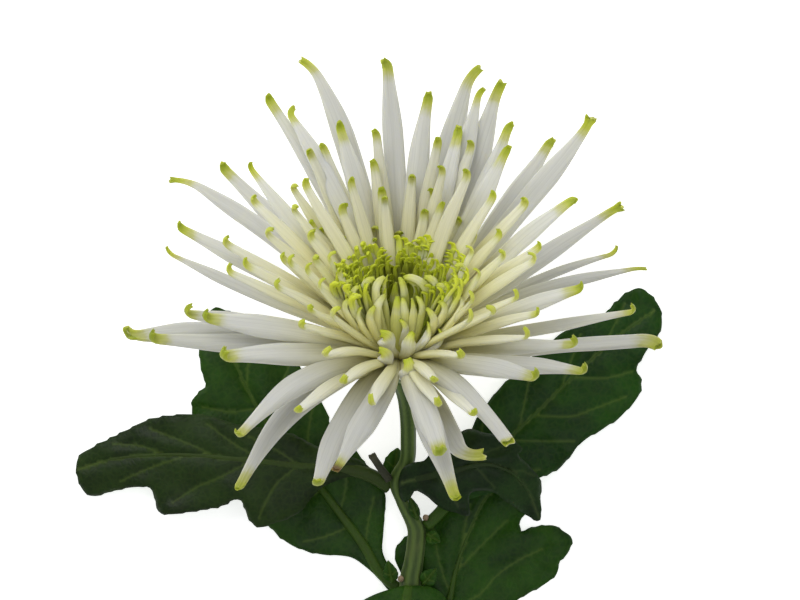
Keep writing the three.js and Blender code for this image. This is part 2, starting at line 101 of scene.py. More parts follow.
def add_node(tree: NodeTree, kind: str, inputs: Optional[dict] = None,
             stops: Sequence[tuple[float, str]] = (), **settings: object) -> Node:
    """Adds a node with its settings, and fills or links its inputs.

    Args:
        tree: The shader or geometry tree.
        kind: The node's type name.
        inputs: What its inputs get, as in feed.
        stops: Places and hex colours of a colour ramp.
        settings: Properties of the node.

    Returns:
        The new node.
    """
    node = tree.nodes.new(kind)
    for key, value in settings.items():
        setattr(node, key, value)
    feed(node, inputs or {})
    for k, (place, colour) in enumerate(stops):
        ramp = node.color_ramp.elements
        stop = ramp[k] if k < 2 else ramp.new(place)
        stop.position = place
        stop.color = linear(colour)
    return node


def new_finish(name: str) -> tuple[Material, Node, partial]:
    """Starts a material.

    Args:
        name: Its name.

    Returns:
        The material, its shader, and add_node for its tree.
    """
    made = bpy.data.materials.new(name)
    made.use_nodes = True
    return made, made.node_tree.nodes["Principled BSDF"], partial(add_node, made.node_tree)


def unit(vectors: Array) -> Array:
    """Gives each vector along the last axis a length of one."""
    return vectors / np.maximum(np.linalg.norm(vectors, axis=-1, keepdims=True), 1e-9)


def smooth(low: float, high: float, x: Array) -> Array:
    """Rises smoothly from 0 at low to 1 at high."""
    t = np.clip((np.asarray(x, float) - low) / (high - low), 0, 1)
    return t * t * (3 - 2 * t)


def lerp(low: Array, high: Array, share: Array) -> Array:
    """Mixes low and high by a share from 0 to 1."""
    return low + (high - low) * share


def bell(x: Array, width: Array) -> Array:
    """A bell curve: 1 at 0, and close to 0 at twice the width."""
    return np.exp(-(x / width) ** 2)


def settle(x: Array, reach: float) -> Array:
    """Climbs from 0 at 0 and levels off at 1."""
    return 1 - np.exp(-x / reach)


def arc_lengths(line: Array) -> Array:
    """Distance along a line of points, from its first one."""
    steps = np.linalg.norm(np.diff(line, axis=0), axis=1)
    return np.concatenate([[0.0], np.cumsum(steps)])


def rounded(points: Sequence[Point], step: float, closed: bool = False) -> Array:
    """Draws a centripetal curve through points.

    Args:
        points: Places that the curve goes through.
        step: Distance between the points of the result.
        closed: Whether the curve comes back to its start.

    Returns:
        Evenly spaced points along the curve. A closed one doesn't repeat its start.
    """
    given = np.array(points, float)
    if closed:
        around = np.vstack([given[-1], given, given[0], given[1]])
    else:
        around = np.vstack([2 * given[0] - given[1], given, 2 * given[-1] - given[-2]])
    pieces = []
    for before, start, end, after in zip(around, around[1:], around[2:], around[3:]):
        knots = np.cumsum([0.0] + [max(math.sqrt(math.dist(a, b)), 1e-3)
                                   for a, b in ((before, start), (start, end), (end, after))])
        t = np.linspace(knots[1], knots[2], 12, endpoint=False)[:, None]
        mixed = [before, start, end, after]
        for spans in (((0, 1), (1, 2), (2, 3)), ((0, 2), (1, 3)), ((1, 2),)):
            mixed = [lerp(a, b, (t - knots[i]) / (knots[j] - knots[i]))
                     for a, b, (i, j) in zip(mixed, mixed[1:], spans)]
        pieces.append(mixed[0])
    line = np.vstack([*pieces, given[:1] if closed else given[-1:]])
    arc = arc_lengths(line)
    count = max(2, round(arc[-1] / step)) + 1
    places = np.linspace(0, arc[-1], count)
    even = np.column_stack([np.interp(places, arc, line[:, k]) for k in range(line.shape[1])])
    return even[:-1] if closed else even


def circle(count: int) -> Array:
    """Evenly spaced angles round a circle."""
    return 2 * np.pi * np.arange(count) / count


def lathe(outline: Sequence[Point], sides: int) -> Array:
    """Turns an outline round the Z axis.

    Args:
        outline: Distance from the axis and height of each ring.
        sides: Points in a ring.

    Returns:
        Rings by points by three numbers.
    """
    cos, sin = np.cos(circle(sides)), np.sin(circle(sides))
    return np.stack([np.column_stack([out * cos, out * sin, np.full(sides, high)]) for out, high in outline])


def hoops(middle: Array, side: Array, rise: Array, wide: Array, high: Array) -> Array:
    """Sets rings of points across a line.

    Args:
        middle: Middle of each ring.
        side: Direction across, for each ring or for all.
        rise: Direction up, for each ring or for all.
        wide: How far each point lies across, rings by points.
        high: How far each point lies up, rings by points.

    Returns:
        Rings by points by three numbers.
    """
    return middle[:, None] + side[..., None, :] * wide[..., None] + rise[..., None, :] * high[..., None]


@dataclass
class Skin:
    """Points, faces and point layers of one or several closed bodies, in millimetres."""

    points: Array
    faces: list[tuple[int, ...]]
    layers: dict[str, Array] = field(default_factory=dict)

    def outward(self) -> "Skin":
        """Turns the faces over if the body is inside out.

        Returns:
            This skin.
        """
        corners = np.array([(a, b, c) for a, *rest in self.faces for b, c in zip(rest, rest[1:])])
        a, b, c = np.moveaxis(self.points[corners], 1, 0)
        if np.sum(a * np.cross(b, c)) < 0:
            self.faces = [face[::-1] for face in self.faces]
        return self

    @staticmethod
    def joined(skins: Sequence["Skin"]) -> "Skin":
        """Puts several skins with the same layers into one.

        Args:
            skins: The skins.

        Returns:
            One skin that holds them all.
        """
        faces, start = [], 0
        for skin in skins:
            faces += [tuple(k + start for k in face) for face in skin.faces]
            start += len(skin.points)
        layers = {name: np.concatenate([skin.layers[name] for skin in skins]) for name in skins[0].layers}
        return Skin(np.concatenate([skin.points for skin in skins]), faces, layers)

    def to_object(self, name: str, material: Material) -> Object:
        """Writes the skin as a smooth shaded mesh object at the origin.

        Args:
            name: The object's name.
            material: Its finish.

        Returns:
            The new object.
        """
        mesh = bpy.data.meshes.new(name)
        mesh.from_pydata((self.points * MM).tolist(), [], self.faces)
        for layer, values in self.layers.items():
            vector = values.ndim == 2
            attribute = mesh.attributes.new(layer, "FLOAT_VECTOR" if vector else "FLOAT", "POINT")
            attribute.data.foreach_set("vector" if vector else "value", values.astype(np.float32).ravel())
        mesh.polygons.foreach_set("use_smooth", [True] * len(mesh.polygons))
        mesh.materials.append(material)
        mesh.update()
        made = bpy.data.objects.new(name, mesh)
        bpy.context.scene.collection.objects.link(made)
        return made


def loft(rings: Array, ends: tuple[Array, Array]) -> Skin:
    """Skins rings of points and closes both ends with fans.

    Args:
        rings: Rings by points by three numbers.
        ends: The middle point of the first and of the last ring's cap.

    Returns:
        The closed skin. Its last two points are the ends.
    """
    count, sides = rings.shape[:2]
    points = np.vstack([rings.reshape(-1, 3), np.array(ends)])
    edges = [(k, (k + 1) % sides) for k in range(sides)]
    faces = [(r + a, r + b, r + b + sides, r + a + sides)
             for r in range(0, (count - 1) * sides, sides) for a, b in edges]
    first, last = count * sides, (count - 1) * sides
    for a, b in edges:
        faces += [(first, b, a), (first + 1, last + a, last + b)]
    return Skin(points, faces).outward()


def dress(piece: Object, slot: str, *nodes: str) -> Object:
    """Ties a finished piece to the flower's body and hides the solids that it stands for.

    Args:
        piece: The finished object.
        slot: Not used.
        nodes: Names of the solids that it replaces.

    Returns:
        The piece.
    """
    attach(piece, BODY)
    if nodes:
        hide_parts(*nodes)
    LOG.info("%s: %d faces, stands for %s", piece.name, len(piece.data.polygons),
             ", ".join(nodes) or "nothing")
    return piece


def run_tree(source: Object, tree: NodeTree, values: dict[str, object],
             name: str, patterns: Sequence[Object] = ()) -> Object:
    """Runs a geometry tree on an object, keeps the result as a plain mesh and clears away the rest.

    Args:
        source: The object that the tree starts from.
        tree: The geometry tree.
        values: Input names of the tree and their values.
        name: Name of the result.
        patterns: The objects that the tree repeats.

    Returns:
        A mesh object at the origin.
    """
    modifier = source.modifiers.new("growth", "NODES")
    modifier.node_group = tree
    sockets = {item.name: item.identifier for item in tree.interface.items_tree if item.in_out == "INPUT"}
    for key, value in values.items():
        modifier[sockets[key]] = value
    depsgraph = bpy.context.evaluated_depsgraph_get()
    mesh = bpy.data.meshes.new_from_object(source.evaluated_get(depsgraph), depsgraph=depsgraph)
    mesh.name = name
    for used in (source, *patterns):
        bpy.data.objects.remove(used)
    made = bpy.data.objects.new(name, mesh)
    bpy.context.scene.collection.objects.link(made)
    return made


def new_tree(name: str, values: dict[str, object]) -> tuple[NodeTree, partial, object]:
    """Starts a geometry tree with a named input for each value.

    Args:
        name: The tree's name.
        values: Input names and their values, each a whole number, a number or a material.

    Returns:
        The tree, add_node for it, and the outputs of its input node.
    """
    kinds = {int: "NodeSocketInt", float: "NodeSocketFloat", Material: "NodeSocketMaterial"}
    tree = bpy.data.node_groups.new(name, "GeometryNodeTree")
    tree.interface.new_socket("Geometry", in_out="INPUT", socket_type="NodeSocketGeometry")
    for key, value in values.items():
        tree.interface.new_socket(key, in_out="INPUT", socket_type=kinds[type(value)]).default_value = value
    tree.interface.new_socket("Geometry", in_out="OUTPUT", socket_type="NodeSocketGeometry")
    return tree, partial(add_node, tree), add_node(tree, "NodeGroupInput").outputs


def join_patterns(tree: NodeTree, patterns: Sequence[Object]) -> Node:
    """Joins objects in a tree as instances to pick from.

    Args:
        tree: The geometry tree.
        patterns: The objects, in the order of their numbers.

    Returns:
        The join node.
    """
    parts = add_node(tree, "GeometryNodeJoinGeometry")
    # A join puts the part that is linked last first.
    for pattern in reversed(patterns):
        info = add_node(tree, "GeometryNodeObjectInfo", {"Object": pattern})
        feed(parts, {0: add_node(tree, "GeometryNodeGeometryToInstance", {0: info.outputs["Geometry"]})})
    return parts


def end_tree(add: partial, grown: Node, finish: NodeSocket) -> None:
    """Ends a tree: instances become geometry of their own, dressed in a finish.

    Args:
        add: add_node for the tree.
        grown: The node with the grown geometry.
        finish: The material input.
    """
    whole = add("GeometryNodeRealizeInstances", {"Geometry": grown})
    add("NodeGroupOutput", {0: add("GeometryNodeSetMaterial", {"Geometry": whole, "Material": finish})})


# ---- finishes ----

@dataclass(frozen=True)
class PetalTissue:
    """Living petal tissue: a thin satin skin over air-filled cells, white with light let through.

    The eye sees a soft white with fine lengthwise streaks, cream towards the root, and a tip that goes
    through pale yellow to yellow-green.
    """

    name: str = "petal_tissue"
    tips: tuple[tuple[float, str], ...] = (
        (0.0, "#a6b624"), (0.22, "#bac733"), (0.45, "#cdd35a"), (0.72, "#dbdc98"), (1.0, "#e6e7cb"))
    white: str = "#f0f0e8"
    root: str = "#f3edaa"
    young: str = "#ccd65e"
    dried: str = "#5f4a24"
    # Painted shade: the shade layer greys the white of florets turned away from the light, by this much at
    # most.
    turned_away: float = 0.46
    # Painted shade of the deep pit: florets beyond a given youth are darkened, down to the darkest share of
    # their colour.
    deepest: float = 0.6
    deep_from: float = 0.7
    streak_mm: float = 0.4
    vein_mm: float = 1.15
    relief_mm: float = 0.06

    def material(self) -> Material:
        """Builds the shader.

        Returns:
            The material, which reads the layers fade, root, tone, dry, young and skin.
        """
        made, shader, add = new_finish(self.name)
        fade, root, tone, dry, young = (add("ShaderNodeAttribute", attribute_name=key).outputs["Fac"]
                                        for key in ("fade", "root", "tone", "dry", "young"))
        skin = add("ShaderNodeAttribute", attribute_name="skin").outputs["Vector"]
        stretched = add("ShaderNodeVectorMath", {0: skin, 1: (1 / self.streak_mm, 0.05, 1.0)},
                        operation="MULTIPLY")
        streaks = add("ShaderNodeTexNoise", {"Vector": stretched, "Scale": 1.0, "Detail": 3.0,
                      "Roughness": 0.6})
        blotches = add("ShaderNodeTexNoise", {"Vector": skin, "Scale": 0.35})
        mottled = add("ShaderNodeMath", {0: blotches, 1: streaks}, operation="ADD")
        offset = add("ShaderNodeMath", {0: mottled, 1: 0.35, 2: -0.35}, operation="MULTIPLY_ADD")
        uneven = add("ShaderNodeMath", {0: fade, 1: offset}, operation="ADD")
        greener = add("ShaderNodeMath", {0: young, 1: -0.4, 2: uneven}, operation="MULTIPLY_ADD")
        tips = add("ShaderNodeValToRGB", {"Fac": greener}, stops=self.tips)
        rooted = add("ShaderNodeMix", {0: root, 6: linear(self.white), 7: linear(self.root)},
                     data_type="RGBA")
        fresh = add("ShaderNodeMix", {0: young, 6: rooted, 7: linear(self.young)}, data_type="RGBA")
        at_tip = add("ShaderNodeMapRange", {"Value": greener, "From Min": 0.72, "From Max": 1.12})
        body = add("ShaderNodeMix", {0: at_tip, 6: tips, 7: fresh}, data_type="RGBA")
        across = add("ShaderNodeSeparateXYZ", {"Vector": skin})
        strayed = add("ShaderNodeMath", {0: blotches, 1: 0.5, 2: across.outputs["X"]},
                      operation="MULTIPLY_ADD")
        spaced = add("ShaderNodeMath", {0: strayed, 1: math.pi / self.vein_mm}, operation="MULTIPLY")
        wave = add("ShaderNodeMath", {0: spaced}, operation="SINE")
        line = add("ShaderNodeMath", {0: wave}, operation="ABSOLUTE")
        vein = add("ShaderNodeMapRange", {"Value": line, "From Max": 0.4, "To Min": -0.07, "To Max": 0.0},
                   interpolation_type="SMOOTHSTEP")
        dappled = add("ShaderNodeMapRange", {"Value": streaks, "From Min": 0.3, "From Max": 0.7,
                      "To Min": 0.9})
        streaked = add("ShaderNodeMath", {0: dappled, 1: vein}, operation="ADD")
        # Painted shade: the shade layer greys the white of florets turned away from the light.
        away = add("ShaderNodeMath", {0: tone, 1: -self.turned_away, 2: 1.0}, operation="MULTIPLY_ADD")
        # Painted shade of the deep pit: florets beyond a given youth are darkened.
        depth = add("ShaderNodeMapRange", {"Value": young, "From Min": self.deep_from, "To Min": 1.0,
                    "To Max": self.deepest})
        for factor in (streaked, away, depth):
            body = add("ShaderNodeVectorMath", {0: body, "Scale": factor}, operation="SCALE")
        near_end = add("ShaderNodeMapRange", {"Value": uneven, "From Min": 0.1, "From Max": 0.6,
                       "To Min": 1.0, "To Max": 0.0})
        dryness = add("ShaderNodeMath", {0: near_end, 1: dry}, operation="MULTIPLY")
        colour = add("ShaderNodeMix", {0: dryness, 6: body, 7: linear(self.dried)}, data_type="RGBA")
        bump = add("ShaderNodeBump", {"Height": streaks, "Strength": 0.6, "Distance": self.relief_mm * MM})
        feed(shader, {"Base Color": colour, "Normal": bump, "Roughness": 0.52, "IOR": 1.4,
                      "Subsurface Weight": 0.55, "Subsurface Radius": (1.0, 0.95, 0.6),
                      "Subsurface Scale": 2.4 * MM})
        return made


@dataclass(frozen=True)
class LeafBlade:
    """A chrysanthemum leaf's blade: thick, deep green, with a satin cuticle over a fine net of veins.

    The eye sees dark green with a grey sheen on the bulges between sunken veins, and thin yellow-green
    lines where the main veins run.
    """

    name: str
    deep: str = "#0d2407"
    light: str = "#264f13"
    vein: str = "#6a8034"
    under: str = "#5f7757"
    net_mm: float = 1.7
    net_relief_mm: float = 0.05
    grain_mm: float = 0.35

    def material(self) -> Material:
        """Builds the shader.

        Returns:
            The material, which reads the layers vein and under.
        """
        made, shader, add = new_finish(self.name)
        place = add("ShaderNodeTexCoord").outputs["Object"]
        vein = add("ShaderNodeAttribute", attribute_name="vein").outputs["Fac"]
        vein = add("ShaderNodeMath", {0: vein, 1: 1.4}, operation="POWER")
        under = add("ShaderNodeAttribute", attribute_name="under").outputs["Fac"]
        bend = add("ShaderNodeTexNoise", {"Vector": place, "Scale": 1 / (3 * MM)})
        bent = add("ShaderNodeVectorMath", {0: bend.outputs["Color"], "Scale": 1.1 * MM}, operation="SCALE")
        wandering = add("ShaderNodeVectorMath", {0: place, 1: bent}, operation="ADD")
        net = add("ShaderNodeTexVoronoi", {"Vector": wandering, "Scale": 1 / (self.net_mm * MM)},
                  feature="DISTANCE_TO_EDGE")
        cells = add("ShaderNodeMapRange", {"Value": net, "From Max": 0.28}, interpolation_type="SMOOTHSTEP")
        patches = add("ShaderNodeTexNoise", {"Vector": place, "Scale": 1 / (11 * MM), "Detail": 4.0,
                      "Roughness": 0.6})
        grain = add("ShaderNodeTexNoise", {"Vector": place, "Scale": 1 / (self.grain_mm * MM),
                    "Detail": 1.0})
        spread = add("ShaderNodeMapRange", {"Value": patches, "From Min": 0.35, "From Max": 0.68})
        green = add("ShaderNodeMix", {0: spread, 6: linear(self.deep), 7: linear(self.light)},
                    data_type="RGBA")
        thin = add("ShaderNodeMapRange", {"Value": cells, "To Min": 0.05, "To Max": 0.0})
        veined = add("ShaderNodeMath", {0: vein, 1: thin}, operation="MAXIMUM")
        lined = add("ShaderNodeMix", {0: veined, 6: green, 7: linear(self.vein)}, data_type="RGBA")
        colour = add("ShaderNodeMix", {0: under, 6: lined, 7: linear(self.under)}, data_type="RGBA")
        fine = add("ShaderNodeMath", {0: grain, 1: 0.12, 2: cells}, operation="MULTIPLY_ADD")
        bump = add("ShaderNodeBump", {"Height": fine, "Strength": 0.7, "Distance": self.net_relief_mm * MM})
        gloss = add("ShaderNodeMapRange", {"Value": patches, "From Min": 0.3, "From Max": 0.7,
                    "To Min": 0.36, "To Max": 0.5})
        feed(shader, {"Base Color": colour, "Normal": bump, "Roughness": gloss, "IOR": 1.45,
                      "Specular IOR Level": 0.2, "Subsurface Weight": 0.05, "Subsurface Scale": 0.5 * MM})
        return made


@dataclass(frozen=True)
class StemSkin:
    """The skin of a fresh ribbed stalk: satin green, with paler ribs and a faint down.

    The eye sees light yellow-green lines along a mid green stalk, and dry brown where it was cut.
    """

    name: str = "ribbed_stem_skin"
    furrow: str = "#374d1c"
    rib: str = "#5c7234"
    fleck: str = "#6c7240"

    def material(self) -> Material:
        """Builds the shader.

        Returns:
            The material, which reads the layer rib.
        """
        made, shader, add = new_finish(self.name)
        place = add("ShaderNodeTexCoord").outputs["Object"]
        rib = add("ShaderNodeAttribute", attribute_name="rib").outputs["Fac"]
        along = add("ShaderNodeVectorMath", {0: place, 1: (1.0, 0.12, 1.0)}, operation="MULTIPLY")
        fibres = add("ShaderNodeTexNoise", {"Vector": along, "Scale": 1 / (0.5 * MM), "Detail": 3.0})
        clouds = add("ShaderNodeTexNoise", {"Vector": place, "Scale": 1 / (9 * MM)})
        varied = add("ShaderNodeMath", {0: fibres, 1: 0.9, 2: rib}, operation="MULTIPLY_ADD")
        share = add("ShaderNodeMapRange", {"Value": varied, "From Min": 0.45, "From Max": 1.5})
        green = add("ShaderNodeMix", {0: share, 6: linear(self.furrow), 7: linear(self.rib)},
                    data_type="RGBA")
        worn = add("ShaderNodeMapRange", {"Value": clouds, "From Min": 0.55, "From Max": 0.75,
                   "To Max": 0.35})
        colour = add("ShaderNodeMix", {0: worn, 6: green, 7: linear(self.fleck)}, data_type="RGBA")
        bump = add("ShaderNodeBump", {"Height": fibres, "Strength": 0.5, "Distance": 0.12 * MM})
        feed(shader, {"Base Color": colour, "Normal": bump, "Roughness": 0.48, "IOR": 1.45,
                      "Specular IOR Level": 0.3, "Sheen Weight": 0.04, "Sheen Roughness": 0.5})
        return made


@dataclass(frozen=True)
class PlantScrap:
    """Small dry or fibrous plant parts: bud scales, bracts, cut ends. Matt, speckled, rough.

    The eye sees two close colours broken up by fibres, with no shine.
    """

    name: str
    dark: str
    pale: str
    grain_mm: float = 0.6
    roughness: float = 0.65

    def material(self) -> Material:
        """Builds the shader.

        Returns:
            The material, which reads the layer edge, 0 in the middle of a piece and 1 at its dry edge.
        """
        made, shader, add = new_finish(self.name)
        place = add("ShaderNodeTexCoord").outputs["Object"]
        edge = add("ShaderNodeAttribute", attribute_name="edge").outputs["Fac"]
        grain = add("ShaderNodeTexNoise", {"Vector": place, "Scale": 1 / (self.grain_mm * MM),
                    "Detail": 3.0, "Roughness": 0.6})
        ragged = add("ShaderNodeMath", {0: grain, 1: 0.8, 2: edge}, operation="MULTIPLY_ADD")
        share = add("ShaderNodeMapRange", {"Value": ragged, "From Min": 0.35, "From Max": 1.3})
        colour = add("ShaderNodeMix", {0: share, 6: linear(self.dark), 7: linear(self.pale)},
                     data_type="RGBA")
        bump = add("ShaderNodeBump", {"Height": grain, "Strength": 0.6, "Distance": 0.12 * MM})
        feed(shader, {"Base Color": colour, "Normal": bump, "Roughness": self.roughness, "IOR": 1.45})
        return made


# ---- florets ----

@dataclass(frozen=True)
class TipForm:
    """How a floret ends: how far its end turns, over what length, the width of its mouth, of the floret's
    own width, how far it opens to a gutter, the length of its green, how much its lip flares, and how deep
    its mouth is."""

    turn: float
    curl: float
    mouth: float
    opening: float
    green: float
    flare: float = 0.0
    hollow: float = 0.3


class TipStyle(Enum):
    """The ends that the florets of one bloom have."""

    HOOKED = TipForm(turn=115, curl=4.0, mouth=0.44, opening=0.6, green=7.5, flare=0.2)
    CLAW = TipForm(turn=140, curl=5.2, mouth=0.42, opening=0.6, green=7.5, flare=0.1)
    LONG_CLAW = TipForm(turn=88, curl=9.5, mouth=0.58, opening=0.35, green=11.0, flare=0.45)
    BLUNT = TipForm(turn=75, curl=3.0, mouth=0.46, opening=0.35, green=7.0, flare=0.05)
    THIN_HOOK = TipForm(turn=95, curl=3.6, mouth=0.34, opening=0.5, green=7.0, flare=0.2)
    BENT = TipForm(turn=42, curl=8.0, mouth=0.42, opening=0.5, green=8.5, flare=0.3)
    THIN_END = TipForm(turn=22, curl=5.0, mouth=0.34, opening=0.3, green=11.0, flare=0.4)
    RAGGED = TipForm(turn=34, curl=5.0, mouth=0.42, opening=0.7, green=8.5, flare=0.8)
    SPOON = TipForm(turn=80, curl=4.2, mouth=0.48, opening=0.4, green=4.5, flare=0.1)
    OPEN_TUBE = TipForm(turn=8, curl=3.0, mouth=0.62, opening=0.0, green=2.0, flare=0.3, hollow=1.2)
    KNOB = TipForm(turn=115, curl=3.6, mouth=0.56, opening=0.3, green=6.0, flare=0.15)
    SMALL_CLAW = TipForm(turn=150, curl=4.2, mouth=0.5, opening=0.45, green=6.0, flare=0.15)
    SMALL_BLUNT = TipForm(turn=80, curl=3.2, mouth=0.56, opening=0.2, green=6.0, flare=0.1)
    INTO_PIT = TipForm(turn=95, curl=5.0, mouth=0.66, opening=0.3, green=7.0)
    POINTED = TipForm(turn=30, curl=3.5, mouth=0.34, opening=0.3, green=6.0)
    DROOPING = TipForm(turn=42, curl=7.0, mouth=0.85, opening=0.3, green=12.0, flare=0.3)
    LONG_BEND = TipForm(turn=36, curl=11.0, mouth=0.32, opening=0.4, green=8.0, flare=0.7)
    FOLDED = TipForm(turn=110, curl=3.4, mouth=0.48, opening=0.3, green=3.6, flare=0.3)


@dataclass(frozen=True)
class TipNote:
    """What sets one outer floret apart from the usual hooked one. The shifts move its middle and its tip."""

    style: TipStyle = TipStyle.HOOKED
    lean: float = 0.0
    green: float = 1.0
    dry: float = 0.0
    pale: float = 0.0
    wide: float = 1.0
    taper: float = 0.7
    shift: tuple[float, float] = (0.0, 0.0)
    tip_shift: tuple[float, float] = (0.0, 0.0)


@dataclass
class Floret:
    """One tubular floret on its curve from the receptacle to where its tip is farthest out."""

    base: Array
    middle: Array
    tip: Array
    width: float
    axis: Array
    form: TipForm
    lean: float = 0.0
    dry: float = 0.0
    pale: float = 0.0
    cream_from: float = 8.0
    cream_reach: float = 52.0
    # How much painted shade greys the floret's white.
    tone: float = 0.0
    young: float = 0.0
    root_width: float = 1.7
    taper: float = 0.66
    seed: int = 0

    def curve(self, count: int) -> Array:
        """Draws the quadratic curve through base, middle and tip.

        Args:
            count: How many points.

        Returns:
            The points.
        """
        handle = 2 * self.middle - (self.base + self.tip) / 2
        s = np.linspace(0, 1, count)[:, None]
        return (1 - s) ** 2 * self.base + 2 * s * (1 - s) * handle + s ** 2 * self.tip

    def frames(self, line: Array) -> tuple[Array, Array]:
        """Directions along a line and, square to them, towards the bloom's axis.

        Args:
            line: Points of the line.

        Returns:
            The directions ahead and up at each point.
        """
        ahead = unit(np.gradient(line, axis=0))
        up = unit(self.axis - (ahead @ self.axis)[:, None] * ahead)
        return ahead, up

    def curled(self, rng: random.Random) -> tuple[Array, Array, Array]:
        """Draws the centre line with its sway and its curled end.

        Args:
            rng: Source of the floret's own irregularity.

        Returns:
            Points, directions ahead and directions up.
        """
        line = self.curve(120)
        ahead, up = self.frames(line)
        across = np.cross(ahead, up)
        s = np.linspace(0, 1, len(line))[:, None]
        reach = float(np.linalg.norm(self.tip - self.base))
        sway = 0.009 * reach
        line = line + np.sin(np.pi * s) * (
            across * sway * rng.uniform(-1, 1) * np.sin(2 * np.pi * s + rng.uniform(0, 6))
            + up * sway * rng.uniform(-1, 1) * np.sin(2 * np.pi * s + rng.uniform(0, 6)))
        ahead, up = self.frames(line)
        across = np.cross(ahead, up)
        u = np.linspace(0, 1, 50)
        turns = math.radians(self.form.turn) * u ** 1.35
        step = self.form.curl / (len(u) - 1)
        forward = np.concatenate([[0], np.cumsum(np.cos(turns[:-1]) * step)])
        inward = np.concatenate([[0], np.cumsum(np.sin(turns[:-1]) * step)])
        arc = arc_lengths(line)
        cut = arc[-1] - forward.max() - 0.12 * self.width
        kept = int(np.searchsorted(arc, cut))
        start, way, rise, side = line[kept], ahead[kept], up[kept], across[kept]
        lean = math.radians(self.lean)
        bend = math.cos(lean) * rise + math.sin(lean) * side
        flank = math.cos(lean) * side - math.sin(lean) * rise
        end = start + np.outer(forward, way) + np.outer(inward, bend)
        end_ahead = np.outer(np.cos(turns), way) + np.outer(np.sin(turns), bend)
        end_bend = np.outer(np.cos(turns), bend) - np.outer(np.sin(turns), way)
        end_up = math.cos(lean) * end_bend - math.sin(lean) * flank
        return (np.vstack([line[:kept], end]), np.vstack([ahead[:kept], end_ahead]),
                np.vstack([up[:kept], end_up]))

    def skin(self, rings: int, sides: int) -> Skin:
        """Skins the floret: a grooved tube that opens to a toothed gutter at its curled end.

        Args:
            rings: Sections along the floret.
            sides: Points around each section.

        Returns:
            A closed skin with the layers that petal tissue reads.
        """
        rng = random.Random(self.seed)
        line, ahead, up = self.curled(rng)
        arc = arc_lengths(line)
        length = arc[-1]
        places = length * (1 - (1 - np.linspace(0, 1, rings)) ** 1.45)
        at = np.column_stack([np.interp(places, arc, column) for column in np.hstack([line, ahead, up]).T])
        middle, ahead, up = at[:, :3], unit(at[:, 3:6]), at[:, 6:]
        up = unit(up - np.sum(up * ahead, axis=1)[:, None] * ahead)
        across = np.cross(ahead, up)
        f = places / length
        twist = math.radians(rng.uniform(-16, 16)) * f
        side = np.cos(twist)[:, None] * across + np.sin(twist)[:, None] * up
        rise = np.cos(twist)[:, None] * up - np.sin(twist)[:, None] * across
        swell = 1 + 0.05 * np.sin(2 * np.pi * (1.3 * f + rng.random()))
        half = 0.5 * lerp(lerp(self.root_width, self.width, smooth(-0.05, 0.45, f)),
                          self.form.mouth * self.width, smooth(self.taper, 0.99, f)) * swell
        half = half * (1 + (self.form.flare - 0.4) * (1 - smooth(0.0, 1.5, length - places)))
        flat = lerp(lerp(0.85, 0.56, smooth(0, 0.4, f)), 0.66, smooth(0.8, 1, f))
        from_end = length - places
        open_share = self.form.opening * (1 - smooth(1.0, self.form.curl + 1.5, from_end))
        phi = circle(sides)
        cos, sin = np.cos(phi), np.sin(phi)
        lobes = 1 + 0.045 * np.cos(3 * phi + rng.uniform(0, 6)) + 0.03 * np.cos(5 * phi + rng.uniform(0, 6))
        wide = half[:, None] * cos * lobes
        thick = (half * flat)[:, None]
        high = thick * sin * lobes
        upper = smooth(0.0, 0.6, sin)
        groove = lerp(0.06, rng.uniform(0.12, 0.32), smooth(0.12, 0.6, f))[:, None]
        aside = rng.uniform(-0.25, 0.25)
        high = high - upper * groove * thick * bell(cos - aside, 0.45)
        keel = smooth(0.0, 0.6, -sin) * 0.12
        high = high - keel * thick * bell(cos, 0.3)
        floor = -thick * np.sqrt(np.clip(1 - cos ** 2, 0, 1)) + 0.16 * half[:, None]
        high = lerp(high, np.minimum(high, floor), open_share[:, None] * upper * (1 - np.abs(cos) ** 6))
        teeth = (0.08 + 0.14 * self.form.flare) * self.form.mouth * self.width
        teeth = teeth * (1 + np.cos(3 * phi + rng.uniform(0, 6)))
        forth = np.zeros((rings, sides))
        forth[-1] = teeth
        forth[-2] = 0.45 * teeth
        ring = hoops(middle, side, rise, wide, high) + ahead[:, None] * forth[..., None]
        hub = ring[-1].mean(axis=0)
        lip = lerp(hub, ring[-1], 0.68) - 0.5 * self.form.hollow * ahead[-1]
        back = -1.3 * self.form.hollow * ahead[-1] * min(1.0, half[-1])
        made = loft(np.concatenate([ring, lip[None]]), (ring[0].mean(axis=0), hub + back))
        fade = np.repeat(from_end / self.form.green, sides)
        made.layers = self.layers(np.concatenate([fade + 0.25 * self.pale, np.zeros(sides), [5.0, 0.0]]),
                                  made.points,
                                  np.concatenate([wide.ravel(), wide[-1] * 0.68, [0.0, 0.0]]),
                                  np.concatenate([np.repeat(places, sides), np.full(sides + 2, length)]))
        return made

    def layers(self, fade: Array, points: Array, wide: Array, along: Array) -> dict[str, Array]:
        """Works out the layers that petal tissue reads.

        Args:
            fade: Distance from the end, in lengths of the green tip.
            points: The points, from the bloom's centre.
            wide: Distance across.
            along: Distance from the root.

        Returns:
            Layer names and their values at each point.
        """
        count = len(fade)
        return {
            "fade": fade,
            "root": 1 - smooth(self.cream_from, self.cream_reach, np.linalg.norm(points, axis=1)),
            "tone": np.full(count, self.tone),
            "dry": np.full(count, self.dry),
            "young": np.full(count, self.young),
            "skin": np.column_stack([wide, along, np.full(count, 7.3 * self.seed)]),
        }


